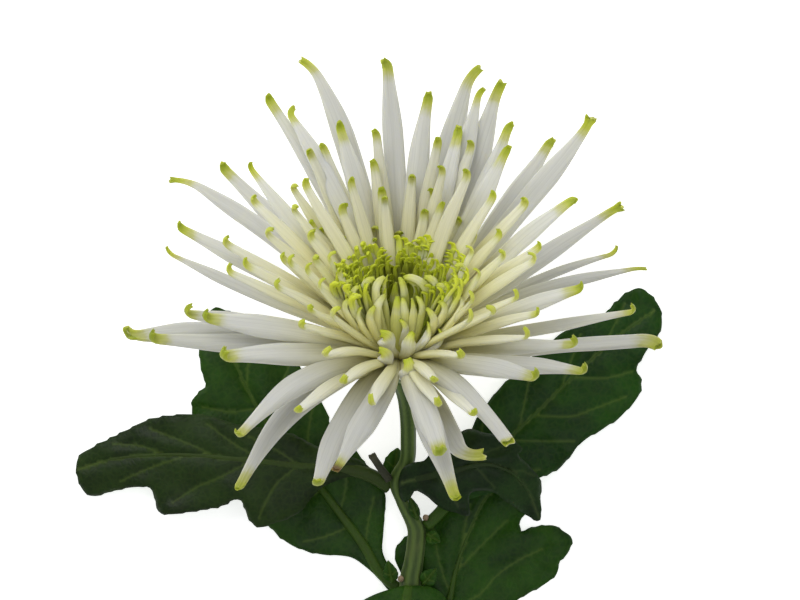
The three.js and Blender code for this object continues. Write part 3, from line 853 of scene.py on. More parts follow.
@dataclass
class Bloom:
    """The flower head: free outer florets, crowded inner ones, and the receptacle that carries them."""

    outer_count: int = 42
    tilt: float = 40.0
    centre_from_lower_bud: Point = (-0.2, 61.8, 29.4)
    disc_radius: float = 4.2
    disc_centre: Point = (0.0, -1.3, 2.4)
    foot: Point = (-0.4, -3.2, 1.0)
    fullness: float = 1.26
    inner_width: float = 3.8
    innermost_width: float = 2.3
    arch: float = 0.045
    highest_tip: float = 85.0
    lowest_tip: float = 2.5
    ring_sides: int = 6
    inner_seed: int = 1000
    front_seed: int = 1200
    # The bloom's outline: degrees from its axis, and the reach there.
    profile: Table = (
        (0, 22), (10, 25), (20, 30), (30, 35), (40, 42), (50, 50), (60, 62), (70, 79), (80, 82), (180, 84))
    # Tips of the inner florets seen from above, from the bloom's centre.
    inner_tips: Table = (
        (-20.3, 52.7), (-24.1, 51.5), (-6.2, 56.4), (-6.8, 48.4), (-13.2, 43.5), (-4.8, 41.2), (-4.0, 38.4),
        (-46.7, 27.4), (-41.6, 21.7), (-45.6, 19.6), (-39.2, 38.7), (-28.6, 42.1), (-28.6, 36.6),
        (-25.4, 43.2), (-20.0, 34.8), (-15.7, 36.7), (-35.5, 29.9), (-24.1, 32.6), (-31.8, 23.7),
        (-22.9, 23.7), (-25.2, 20.8), (-21.7, 16.4), (-33.2, 15.9), (10.2, 54.1), (19.2, 53.3),
        (11.5, 46.6), (18.1, 45.2), (9.2, 40.6), (10.9, 37.2), (3.2, 44.0), (6.6, 35.4), (15.5, 33.7),
        (25.0, 39.8), (33.6, 38.0), (20.1, 29.7), (27.0, 29.7), (37.4, 26.5), (28.1, 24.5), (21.5, 19.3),
        (31.3, 12.8), (25.3, 9.1), (36.8, 8.5), (19.0, 7.4), (33.9, 2.2), (16.7, -2.9), (10.3, -15.7),
        (19.8, -18.2), (-26.9, 5.4), (-20.3, -2.4), (-24.6, 10.2), (-18.3, 8.5), (-15.4, -9.8),
        (-27.5, -17.4), (-7.4, -15.6), (-24.4, 29.4), (-21.7, 30.2), (-29.8, 22.5), (-19.1, 24.0),
        (36.2, 22.8), (19.5, 25.4), (19.5, 12.5), (-7.7, 31.3), (-7.2, 28.4), (-3.7, 32.3), (-4.0, 28.6),
        (-0.8, 29.9), (1.0, 29.2), (4.2, 27.6), (10.9, 31.8), (10.9, 28.0), (-11.9, 28.2), (-15.9, 28.6),
        (-16.4, 20.8), (17.2, 21.4), (9.5, -9.3))
    young_tips: tuple[tuple[float, str], ...] = (
        (0.0, "#d2e034"), (0.22, "#dce648"), (0.45, "#e2ea62"), (0.72, "#e8ec8c"), (1.0, "#eef0b0"))
    # Behind the heart the tips lie lower: where that starts, their height there, and how it falls and
    # spreads.
    rim: tuple[float, float, float, float] = (26.0, 1.8, 0.26, 0.014)
    dip: float = 3.4
    # Short florets in front of the heart: the middle, the tip, the width and the lean of each.
    front: Table = (
        (-3.3, 0.2, 17.0, -2.3, 3.2, 23.0, 4.6, 30), (2.2, -1.2, 17.0, 2.2, 2.2, 23.0, 3.9, -20),
        (-3.8, -4.2, 17.0, -3.0, -1.4, 24.0, 4.2, 30), (2.1, -7.8, 21.0, 2.6, -4.8, 29.0, 5.8, 10),
        (6.0, 0.8, 16.0, 7.4, 4.6, 21.0, 3.8, -70), (8.4, -0.4, 15.0, 11.2, 3.0, 19.0, 3.9, -60),
        (1.0, 2.4, 15.0, 1.7, 5.8, 20.0, 2.2, 0))
    notes: dict[int, TipNote] = field(default_factory=lambda: {
        1: TipNote(TipStyle.BENT, lean=-75, pale=0.8, wide=0.9, shift=(1.2, 0.0), tip_shift=(1.0, -0.3)),
        2: TipNote(TipStyle.BLUNT, wide=0.95, taper=0.55),
        3: TipNote(TipStyle.THIN_HOOK, lean=60, tip_shift=(-0.9, -0.6)), 4: TipNote(TipStyle.BLUNT),
        5: TipNote(TipStyle.BLUNT, lean=-50, shift=(0.4, 0.0)), 6: TipNote(TipStyle.BLUNT),
        7: TipNote(TipStyle.BENT, lean=75, pale=0.4, wide=1.05, tip_shift=(-1.2, 0.6)),
        8: TipNote(TipStyle.THIN_HOOK, lean=40),
        9: TipNote(TipStyle.BENT, lean=30, green=0.8, wide=1.15, tip_shift=(-1.3, 0.0)),
        10: TipNote(TipStyle.BLUNT), 11: TipNote(TipStyle.BLUNT, lean=40),
        12: TipNote(TipStyle.BLUNT, lean=30), 13: TipNote(TipStyle.BLUNT, lean=40),
        14: TipNote(TipStyle.RAGGED, pale=0.4, wide=0.95), 15: TipNote(TipStyle.BLUNT, lean=60),
        16: TipNote(TipStyle.RAGGED, lean=50, wide=0.92, taper=0.62),
        17: TipNote(wide=0.74, tip_shift=(0.6, -0.6)),
        18: TipNote(TipStyle.THIN_END, lean=90, green=0.7, wide=0.78, tip_shift=(0.3, 0.4)),
        19: TipNote(TipStyle.BLUNT), 20: TipNote(wide=0.78, taper=0.6), 21: TipNote(taper=0.6),
        22: TipNote(TipStyle.DROOPING, lean=90, pale=1.4, wide=0.74, shift=(0.0, 0.3), tip_shift=(0.0, 2.2)),
        23: TipNote(wide=0.95), 24: TipNote(pale=0.4, wide=1.15, shift=(0.0, 0.8)),
        25: TipNote(TipStyle.OPEN_TUBE, pale=2.4, taper=0.5),
        26: TipNote(TipStyle.LONG_CLAW, lean=-90, pale=1.6),
        27: TipNote(TipStyle.KNOB, wide=1.1, taper=0.75),
        28: TipNote(TipStyle.BENT, green=1.5, pale=0.2, taper=0.5),
        29: TipNote(TipStyle.THIN_END, green=0.5, dry=1.0), 30: TipNote(TipStyle.SPOON, wide=1.1),
        31: TipNote(TipStyle.POINTED, green=1.8, pale=0.8, wide=1.15, taper=0.5),
        32: TipNote(TipStyle.THIN_HOOK, pale=0.7, wide=1.2, taper=0.6),
        33: TipNote(pale=0.3, wide=1.3, taper=0.62, shift=(0.0, 0.3)), 34: TipNote(wide=1.2),
        35: TipNote(TipStyle.RAGGED, pale=1.0, wide=1.3, taper=0.74, shift=(0.0, -1.2),
                    tip_shift=(1.4, -0.4)),
        36: TipNote(wide=1.25, taper=0.6, shift=(0.0, -0.8)), 37: TipNote(TipStyle.CLAW, shift=(0.0, -1.6)),
        38: TipNote(TipStyle.THIN_HOOK, wide=0.75), 39: TipNote(TipStyle.BLUNT, wide=0.9),
        40: TipNote(TipStyle.LONG_BEND, lean=-100, wide=0.86, shift=(0.6, 1.9), tip_shift=(1.8, 2.9)),
        41: TipNote(TipStyle.BLUNT, taper=0.6), 42: TipNote(TipStyle.THIN_HOOK, wide=1.05)})

    def __post_init__(self) -> None:
        """Works out the bloom's centre, the place on the floor under it, and its axis from the frame."""
        low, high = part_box("bud_lower")
        bud = (np.array(low) + np.array(high)) / 2 / MM
        self.centre = bud + np.array(self.centre_from_lower_bud)
        self.ground = self.centre * (1.0, 1.0, 0.0)
        angle = math.radians(self.tilt)
        self.axis = np.array([0.0, math.sin(angle), math.cos(angle)])

    def outer_floret(self, number: int) -> Floret:
        """Reads a free floret's curve from the rings of its solid.

        Args:
            number: The solid's number.

        Returns:
            The floret.
        """
        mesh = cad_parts[f"ray_floret_{number:02d}"].data
        corners = np.array([v.co for v in mesh.vertices]) / MM
        corners = np.unique(np.round(corners, 3), axis=0) - self.centre
        corners = corners[np.argsort(np.linalg.norm(corners, axis=1))]
        whole = corners[1:-1]
        rings = whole.reshape(-1, self.ring_sides, 3)
        middles = rings.mean(axis=1)
        straight = middles[:-1]
        middle, tip = straight[len(straight) // 2], straight[-1]
        note = self.notes.get(number, TipNote())
        width = note.wide * self.fullness * 2 * np.linalg.norm(rings - middles[:, None], axis=2).max()
        middle, tip = middle + np.array([*note.shift, 0.0]), tip + np.array([*note.tip_shift, 0.0])
        form = replace(note.style.value, green=note.style.value.green * note.green)
        return Floret(self.root(middle), middle, tip, width, self.axis, form, lean=note.lean, dry=note.dry,
                      pale=note.pale, tone=self.tone(tip), root_width=2.1, taper=note.taper, seed=number)

    def root(self, towards: Array) -> Array:
        """Finds where a floret leaves the small disc that all florets grow from.

        Args:
            towards: A place on the floret, from the bloom's centre.

        Returns:
            The floret's first point.
        """
        along = float(towards @ self.axis)
        out = towards - along * self.axis
        angle = math.degrees(math.atan2(np.linalg.norm(out), along))
        share = float(smooth(0, 75, angle))
        return np.array(self.disc_centre) + unit(out) * self.disc_radius * share

    def tone(self, tip: Array) -> float:
        """Paints shade into the white of florets turned away from the light, less on those pointing up and
        aside, more on the right and lower left.

        Args:
            tip: The floret's tip, from the bloom's centre.

        Returns:
            How much painted shade, from 0 to a little over 1.
        """
        angle = math.degrees(math.acos(float(unit(tip) @ self.axis)))
        across, up = unit(tip[:2])
        lit = abs(2 * across * up) * (up > 0)
        shaded = (smooth(0.6, 0.95, across) * smooth(0.4, 0.05, up)
                  + 0.5 * smooth(0.0, -0.3, across) * smooth(-0.55, -0.8, up))
        return float(smooth(25, 95, angle) * (1 - 0.4 * lit) + 0.12 * smooth(90, 125, angle) + 0.22 * shaded)

    def tip_height(self, x: float, y: float) -> float:
        """Finds the height of a tip that is known from above, on the bloom's outline.

        Args:
            x: Place from the bloom's centre.
            y: Place from the bloom's centre.

        Returns:
            The height above the bloom's centre.
        """
        angles, reaches = np.array(self.profile, float).T
        floor = self.lowest_tip - self.centre[2]
        heights = np.arange(self.highest_tip, floor, -0.5)
        tips = np.column_stack([np.full(len(heights), x), np.full(len(heights), y), heights])
        lengths = np.linalg.norm(tips, axis=1)
        angle = np.degrees(np.arccos(np.clip(tips @ self.axis / lengths, -1, 1)))
        outside = lengths - np.interp(angle, angles, reaches)
        inside = np.flatnonzero(outside <= 0)
        return float(heights[inside[0]] if len(inside) else heights[np.argmin(outside)])

    def inner_floret(self, number: int, place: Point) -> Floret:
        """Places one of the crowded inner florets.

        Args:
            number: Its number among them.
            place: Its tip seen from above, from the bloom's centre.

        Returns:
            The floret.
        """
        rng = random.Random(self.inner_seed + number)
        x, y = place
        start, height, fall, rise = self.rim
        high = self.tip_height(x, y)
        if y > start:
            high = min(high, height - fall * (y - start) + rise * x * x)
        tip = np.array([x, y, high], float)
        angle = math.acos(float(unit(tip) @ self.axis))
        reach = float(np.linalg.norm(tip))
        far = float(smooth(20, 50, math.degrees(angle)))
        out = unit(tip - (tip @ self.axis) * self.axis)
        middle = (tip + np.array(self.foot)) / 2 + self.axis * self.arch * reach * math.sin(angle) * far
        middle = middle + out * 0.1 * reach * (1 - far)
        middle[2] -= self.dip * float(smooth(38, 29, y) * smooth(22, 13, abs(x)) * smooth(22, 26, y))
        form = rng.choice([TipStyle.KNOB, TipStyle.KNOB, TipStyle.SMALL_CLAW, TipStyle.SMALL_BLUNT]).value
        width = lerp(self.innermost_width, self.inner_width, far) * rng.uniform(0.9, 1.08)
        # Inner florets get part of the painted shade, and more where their tips point towards +Y.
        return Floret(self.root(middle), middle, tip, width, self.axis, form, lean=rng.uniform(-35, 35),
                      pale=0.9, cream_reach=70.0, young=0.1 * (1 - far),
                      tone=0.55 * self.tone(tip) + 0.34 * float(smooth(0.78, 0.97, unit(tip[:2])[1])),
                      seed=self.inner_seed + number)

    def front_floret(self, number: int, shape: tuple[float, ...]) -> Floret:
        """Places one of the short florets in front of the heart.

        Args:
            number: Its number among them.
            shape: Middle, tip, width and lean.

        Returns:
            The floret.
        """
        middle, tip = np.array(shape[:3]), np.array(shape[3:6])
        return Floret(self.root(middle), middle, tip, shape[6], self.axis, TipStyle.FOLDED.value,
                      lean=shape[7], pale=0.6, cream_from=2.0, cream_reach=24.0, root_width=2.6, taper=0.8,
                      seed=self.front_seed + number)

    def lean_apart(self, fixed: Sequence[Floret], moving: Sequence[Floret], rounds: int = 50) -> None:
        """Lets crowded inner florets lean apart in height, so that they cross without running together.

        Args:
            fixed: Florets that stay where they are.
            moving: Florets that may lean.
            rounds: How many times each may give way.
        """
        spots = 10
        gap = 0.15
        owner = np.repeat(np.arange(len(moving) + len(fixed)), spots)
        s = np.linspace(0, 1, spots)
        still = np.array([floret.curve(spots) for floret in fixed]).reshape(-1, 3)
        everyone = [*moving, *fixed]
        radius = np.concatenate([0.42 * lerp(floret.root_width, floret.width, smooth(0, 0.55, s))
                                 * (1 - 0.4 * smooth(0.72, 1, s)) for floret in everyone])
        loose = np.tile(s >= 0.3, len(everyone))
        mine = slice(0, len(moving) * spots)
        for _ in range(rounds):
            here = np.array([floret.curve(spots) for floret in moving]).reshape(-1, 3)
            everywhere = np.vstack([here, still])
            between = everywhere[None] - here[:, None]
            distance = np.linalg.norm(between, axis=2)
            overlap = radius[mine, None] + radius[None] + gap - distance
            overlap[owner[mine, None] == owner[None]] = -1
            overlap[~loose[mine]] = -1
            overlap[:, ~loose] = -1
            worst = overlap.reshape(len(moving), -1)
            moved = 0
            for k, floret in enumerate(moving):
                spot = int(worst[k].argmax())
                if worst[k, spot] <= 0:
                    continue
                row, other = divmod(spot, len(everywhere))
                away = -1.0 if between[k * spots + row, other, 2] >= 0 else 1.0
                lift = away * min(float(worst[k, spot]), 1.0) * 0.35
                floret.tip[2] = max(floret.tip[2] + lift * min(1.0, s[row] + 0.2), 1 - self.centre[2])
                floret.middle[2] += lift * (1 - 0.5 * s[row])
                moved += 1
            if moved == 0:
                break

    def place(self, skin: Skin) -> Skin:
        """Moves a skin made around the bloom's centre to its place in the frame."""
        skin.points = skin.points + self.centre
        return skin

    def build(self) -> None:
        """Builds and dresses the whole bloom."""
        tissue = PetalTissue().material()
        outer = [self.outer_floret(number) for number in range(1, self.outer_count + 1)]
        inner = [self.inner_floret(number, place) for number, place in enumerate(self.inner_tips)]
        front = [self.front_floret(number, shape) for number, shape in enumerate(self.front)]
        self.lean_apart([*outer, *front], inner)
        inner += front
        for number, floret in enumerate(outer, start=1):
            skin = self.place(floret.skin(rings=46, sides=24))
            tube = skin.to_object(f"petal_tube_{number:02d}", tissue)
            dress(tube, "ray_floret", f"ray_floret_{number:02d}")
        head = "receptacle_with_inner_florets"
        crowd = self.place(Skin.joined([floret.skin(rings=34, sides=16) for floret in inner]))
        dress(crowd.to_object("inner_petal_tubes", tissue), "inner_florets", head)
        heart = Heart(self.centre, self.centre + np.array(self.disc_centre), self.axis, self.disc_radius)
        young = PetalTissue("young_petal_tissue", tips=self.young_tips, white="#f2f2c4", root="#a4b63c",
                            young="#d2e044", deepest=0.1, deep_from=0.32).material()
        dress(heart.spiral(young), "inner_florets", head)
        cream = PetalTissue("heart_petal_tissue", white="#f5f3c6", root="#f0ea9e").material()
        dress(heart.near_side(cream), "inner_florets", head)
        dress(self.receptacle(tissue), "inner_florets", head)
        Involucre(self.centre, self.axis, self.tilt).build()

    def receptacle(self, tissue: Material) -> Object:
        """Builds the domed receptacle under the florets.

        Args:
            tissue: The florets' finish.

        Returns:
            The object.
        """
        angles = np.linspace(0.12, math.pi - 0.12, 18)
        radius = self.disc_radius
        outline = [(radius * math.sin(angle), radius * math.cos(angle)) for angle in angles]
        skin = loft(lathe(outline, 28), (np.array([0, 0, radius]), np.array([0, 0, -radius])))
        count = len(skin.points)
        # Under the florets, the receptacle's white gets the full painted shade.
        skin.layers = {"fade": np.full(count, 2.0), "root": np.ones(count), "tone": np.ones(count),
                       "dry": np.zeros(count), "young": np.full(count, 0.6), "skin": skin.points.copy()}
        skin.points = skin.points + np.array(self.disc_centre)
        return self.place(skin).to_object("receptacle_dome", tissue)


@dataclass
class Heart:
    """The young florets round the bloom's axis: a bowl with a dark pit, closed in on its near side."""

    origin: Array
    foot: Array
    axis: Array
    disc_radius: float
    tilt: float = 50.0
    depth: float = 0.8
    count: int = 390
    golden_angle: float = 137.508
    near_gap: float = -0.55
    seed: int = 5
    near_seed: int = 500
    pattern_seed: int = 300
    pit_shade: float = 0.86
    fullness: float = 1.36
    pit_along: float = 21.0
    # The dark pit seen from above: its middle in x, and where its shade begins and is full across, on its
    # near side and on its far side.
    pit_side: float = -1.0
    pit_edges: Table = ((7.5, 3.5), (14.0, 16.5), (25.5, 21.5))
    # Rows from the pit outwards. From its root a floret goes out to its middle and on to its tip: out and
    # height of the middle, out and height of the tip, width, green length, turn of the end.
    rows: Table = (
        (0.5, 6.5, 0.9, 12.5, 1.1, 14.0, 20), (1.6, 9.5, 2.7, 17.0, 1.25, 12.0, 40),
        (3.0, 12.6, 4.9, 21.4, 1.4, 10.0, 75), (4.9, 15.0, 7.4, 24.2, 1.6, 9.0, 95),
        (7.0, 16.0, 10.2, 25.6, 1.8, 8.0, 110), (9.2, 15.6, 13.2, 25.8, 2.0, 7.0, 110))
    row_starts: tuple[float, ...] = (0.0, 0.2, 0.38, 0.55, 0.71, 0.86)
    shapes_per_row: int = 3
    # Florets on the near side: middle and tip seen from above, from the bloom's centre, how far along the
    # axis the tip is, the width, how young it is and its end.
    # Youth beyond 0.7 also darkens a near floret, as painted shade of the pit.
    near: tuple[tuple, ...] = (
        (-4.0, 10.6, -3.4, 18.8, 27.0, 1.8, 0.5, TipStyle.POINTED),
        (-8.5, 11.1, -9.0, 16.6, 27.0, 2.2, 0.4, None), (-5.8, 9.8, -6.1, 17.2, 28.0, 2.5, 0.2, None),
        (-3.7, 8.7, -4.0, 15.1, 25.0, 2.0, 0.45, TipStyle.POINTED),
        (-1.3, 9.8, -1.3, 16.4, 24.5, 2.5, 0.9, TipStyle.POINTED),
        (1.1, 9.8, 1.1, 15.9, 25.5, 2.0, 0.7, None), (4.2, 11.1, 3.4, 16.8, 25.0, 2.2, 0.8, None),
        (7.6, 11.6, 2.6, 18.0, 28.0, 2.3, 0.45, None),
        (3.4, 6.1, 2.9, 12.5, 23.5, 1.9, 0.25, TipStyle.POINTED),
        (5.3, 6.1, 5.6, 11.4, 22.5, 2.0, 0.5, None), (9.0, 11.4, 8.5, 17.4, 26.5, 2.2, 0.4, None),
        (-10.6, 7.2, -12.3, 15.4, 25.0, 2.3, 0.0, TipStyle.KNOB),
        (-9.3, 4.0, -11.1, 9.8, 21.5, 2.1, 0.0, TipStyle.SMALL_BLUNT),
        (-7.2, 4.5, -7.2, 9.8, 22.0, 2.3, 0.0, TipStyle.SMALL_BLUNT),
        (8.5, 4.0, 7.2, 9.3, 21.0, 2.2, 0.0, TipStyle.SMALL_BLUNT),
        (9.5, 5.3, 12.2, 11.1, 22.0, 2.4, 0.0, TipStyle.KNOB),
        (10.6, 7.2, 13.8, 14.6, 24.0, 2.5, 0.0, TipStyle.KNOB),
        (-0.8, 6.1, -1.0, 12.1, 22.5, 2.3, 0.5, TipStyle.SMALL_BLUNT),
        (11.2, 9.3, 11.0, 16.0, 25.0, 2.3, 0.1, TipStyle.KNOB),
        (-12.2, 9.8, -14.4, 17.0, 25.5, 2.3, 0.0, TipStyle.KNOB),
        (-6.4, 6.0, -4.6, 12.2, 23.5, 2.1, 0.1, None), (1.4, 5.6, 0.9, 10.6, 21.5, 2.0, 0.35, None),
        (-11.8, 5.2, -14.8, 11.6, 22.5, 2.4, 0.0, TipStyle.KNOB),
        (12.4, 5.0, 16.6, 12.2, 22.5, 2.4, 0.0, TipStyle.SMALL_CLAW))

    def near_side(self, tissue: Material) -> Object:
        """Builds the florets of the near side, which arch over into the pit.

        Args:
            tissue: The florets' finish.

        Returns:
            One mesh object with all of them.
        """
        cos, sin = math.cos(math.radians(self.tilt)), math.sin(math.radians(self.tilt))
        foot = self.foot
        skins = []
        for number, (mid_x, mid_y, tip_x, tip_y, tip_along, width, young, end) in enumerate(self.near):
            places = []
            for x, y, along in ((mid_x, mid_y, 0.66 * tip_along), (tip_x, tip_y, tip_along)):
                back = (y - (foot[1] - self.origin[1]) - sin * along) / cos
                places.append(np.array([x, y, foot[2] - self.origin[2] + cos * along - sin * back]))
            middle, tip = places
            out = unit(np.array([middle[0], -8.0, 4.0]))
            base = foot - self.origin + out * self.disc_radius * 0.8
            pit = foot - self.origin + self.pit_along * np.array([0.0, sin, cos])
            form = (end or TipStyle.INTO_PIT).value
            form = replace(form, green=0.8 * form.green)
            floret = Floret(base, middle, tip, self.fullness * width, unit(pit - tip), form,
                            pale=1.0 if end else 1.8, cream_reach=44.0, young=young, root_width=2.4,
                            taper=0.72, seed=self.near_seed + number)
            skins.append(floret.skin(rings=30, sides=16))
        whole = Skin.joined(skins)
        whole.points = whole.points + self.origin
        return whole.to_object("near_heart_tubes", tissue)

    def pattern_florets(self) -> list[Object]:
        """Builds the few florets that the spiral repeats, standing along +Z and curling towards -X.

        Returns:
            Their objects, by row from the pit outwards.
        """
        made = []
        for row, (mid_out, mid_high, tip_out, tip_high, width, green, turn) in enumerate(self.rows):
            for shape in range(self.shapes_per_row):
                seed = self.pattern_seed + 10 * row + shape
                rng = random.Random(seed)
                tall = rng.uniform(0.93, 1.05)
                middle = np.array([mid_out * rng.uniform(0.85, 1.15), rng.uniform(-0.7, 0.7),
                                   mid_high * tall])
                tip = np.array([tip_out + rng.uniform(-0.9, 0.9), rng.uniform(-1.0, 1.0), tip_high * tall])
                form = TipForm(turn=turn * rng.uniform(0.75, 1.25), curl=rng.uniform(2.6, 4.0), mouth=0.66,
                               opening=0.3, green=green)
                inward = unit(np.array([-1.0, 0.0, 0.25]))
                floret = Floret(np.zeros(3), middle, tip, width, inward, form, lean=rng.uniform(-60, 60),
                                root_width=0.8, cream_from=13.0, cream_reach=22.0, taper=0.72, seed=seed)
                made.append(floret.skin(rings=18, sides=10).to_object(f"young_pattern_{row}_{shape}", None))
        return made

    def tree(self, patterns: Sequence[Object], values: dict[str, object]) -> NodeTree:
        """Builds the tree that sets the florets in their spiral.

        Args:
            patterns: The florets to repeat, by row.
            values: The tree's inputs.

        Returns:
            The geometry tree.
        """
        tree, add, given = new_tree("young_floret_spiral", values)
        index = add("GeometryNodeInputIndex")
        near = add("ShaderNodeMath", {0: index, 1: 0.5}, operation="ADD")
        share = add("ShaderNodeMath", {0: near, 1: given["Count"]}, operation="DIVIDE")
        out = add("ShaderNodeMath", {0: share, 1: 0.5}, operation="POWER")
        degrees = add("ShaderNodeMath", {0: index, 1: given["Golden Angle"]}, operation="MULTIPLY")
        turn = add("ShaderNodeMath", {0: degrees}, operation="RADIANS")
        radius = add("ShaderNodeMath", {0: out, 1: given["Disc Radius"]}, operation="MULTIPLY")
        arm = add("ShaderNodeCombineXYZ", {"X": radius})
        place = add("ShaderNodeVectorRotate", {"Vector": arm, "Angle": turn}, rotation_type="Z_AXIS")
        points = add("GeometryNodePoints", {"Count": given["Count"], "Position": place})
        tilts = add("FunctionNodeRandomValue", {0: (-0.04, -0.06, -0.25), 1: (0.04, 0.06, 0.25),
                    "ID": index, "Seed": given["Seed"]}, data_type="FLOAT_VECTOR")
        level = add("ShaderNodeCombineXYZ", {"Z": turn})
        angles = add("ShaderNodeVectorMath", {0: tilts, 1: level}, operation="ADD")
        rotation = add("FunctionNodeEulerToRotation", {"Euler": angles})
        pick = add("FunctionNodeRandomValue", {4: 0, 5: self.shapes_per_row - 1, "ID": index,
                   "Seed": given["Seed"]}, data_type="INT")
        for start in self.row_starts[1:]:
            beyond = add("ShaderNodeMath", {0: out, 1: start}, operation="GREATER_THAN")
            pick = add("ShaderNodeMath", {0: beyond, 1: float(self.shapes_per_row), 2: pick},
                       operation="MULTIPLY_ADD")
        size = add("FunctionNodeRandomValue", {2: 0.92, 3: 1.06, "ID": index, "Seed": given["Seed"]},
                   data_type="FLOAT")
        # The near side is -Y: there the taller rows leave room for the florets that arch over the pit.
        sine = add("ShaderNodeMath", {0: turn}, operation="SINE")
        far = add("ShaderNodeMath", {0: sine, 1: given["Near Gap"]}, operation="GREATER_THAN")
        low = add("ShaderNodeMath", {0: out, 1: self.row_starts[2]}, operation="LESS_THAN")
        kept = add("ShaderNodeMath", {0: far, 1: low}, operation="MAXIMUM")
        placed = add("GeometryNodeInstanceOnPoints", {"Points": points, "Selection": kept,
                     "Instance": join_patterns(tree, patterns), "Pick Instance": True,
                     "Instance Index": pick, "Rotation": rotation, "Scale": size})
        # Youth falls from the pit outwards; in the young tissue it also darkens the inner rows, as painted
        # shade of the pit.
        youth = add("ShaderNodeMapRange", {"Value": out, "From Min": 0.2, "From Max": 0.9, "To Min": 1.0,
                    "To Max": 0.05})
        named = add("GeometryNodeStoreNamedAttribute", {"Geometry": placed, "Name": "youth",
                    "Value": youth}, domain="INSTANCE")
        end_tree(add, named, given["Tissue"])
        return tree

    def spiral(self, tissue: Material) -> Object:
        """Grows the spiral of young florets and turns it to the heart's tilt.

        Args:
            tissue: The florets' finish.

        Returns:
            One mesh object with every young floret.
        """
        patterns = self.pattern_florets()
        values = {"Count": self.count, "Golden Angle": self.golden_angle, "Seed": self.seed,
                  "Disc Radius": self.disc_radius * MM, "Near Gap": self.near_gap, "Tissue": tissue}
        source = bpy.data.objects.new("young_florets_source", bpy.data.meshes.new("young_florets_source"))
        bpy.context.scene.collection.objects.link(source)
        made = run_tree(source, self.tree(patterns, values), values, "young_petal_tubes", patterns)
        turn_to_axis(made, self.foot, self.tilt, self.depth)
        x, y = (layer_values(made, "position") / MM - self.origin)[:, :2].T
        # Painted shade of the pit: points lying in the dark pit seen from above get a higher young layer,
        # which darkens them.
        across, near, far = self.pit_edges
        pit = smooth(*across, np.abs(x - self.pit_side)) * smooth(*near, y) * smooth(*far, y)
        pit = pit * lerp(0.62, 1.0, smooth(0.2, 0.6, layer_values(made, "fade")))
        youth = np.maximum(layer_values(made, "youth"), self.pit_shade * pit)
        made.data.attributes["young"].data.foreach_set("value", youth.astype(np.float32))
        return made


def layer_values(piece: Object, name: str) -> Array:
    """Reads a point layer of a mesh.

    Args:
        piece: The mesh object.
        name: The layer's name, or position for the places.

    Returns:
        A number or a vector for each point.
    """
    layer = piece.data.attributes[name]
    size, key = (3, "vector") if layer.data_type == "FLOAT_VECTOR" else (1, "value")
    values = np.zeros(size * len(layer.data), np.float32)
    layer.data.foreach_get(key, values)
    return values.reshape(-1, 3) if size == 3 else values


def turn_to_axis(piece: Object, centre: Array, tilt: float, depth: float = 1.0) -> None:
    """Turns a mesh made along +Z to the bloom's axis and moves it to its place.

    Args:
        piece: The mesh object.
        centre: The place that its origin goes to, in millimetres.
        tilt: Degrees that the axis lies back from vertical, towards +Y.
        depth: Its size along Y before it is turned.
    """
    points = layer_values(piece, "position") * (1.0, depth, 1.0)
    cos, sin = math.cos(math.radians(tilt)), math.sin(math.radians(tilt))
    turned = np.column_stack([points[:, 0], cos * points[:, 1] + sin * points[:, 2],
                              cos * points[:, 2] - sin * points[:, 1]]) + centre * MM
    piece.data.vertices.foreach_set("co", turned.astype(np.float32).ravel())
    piece.data.update()


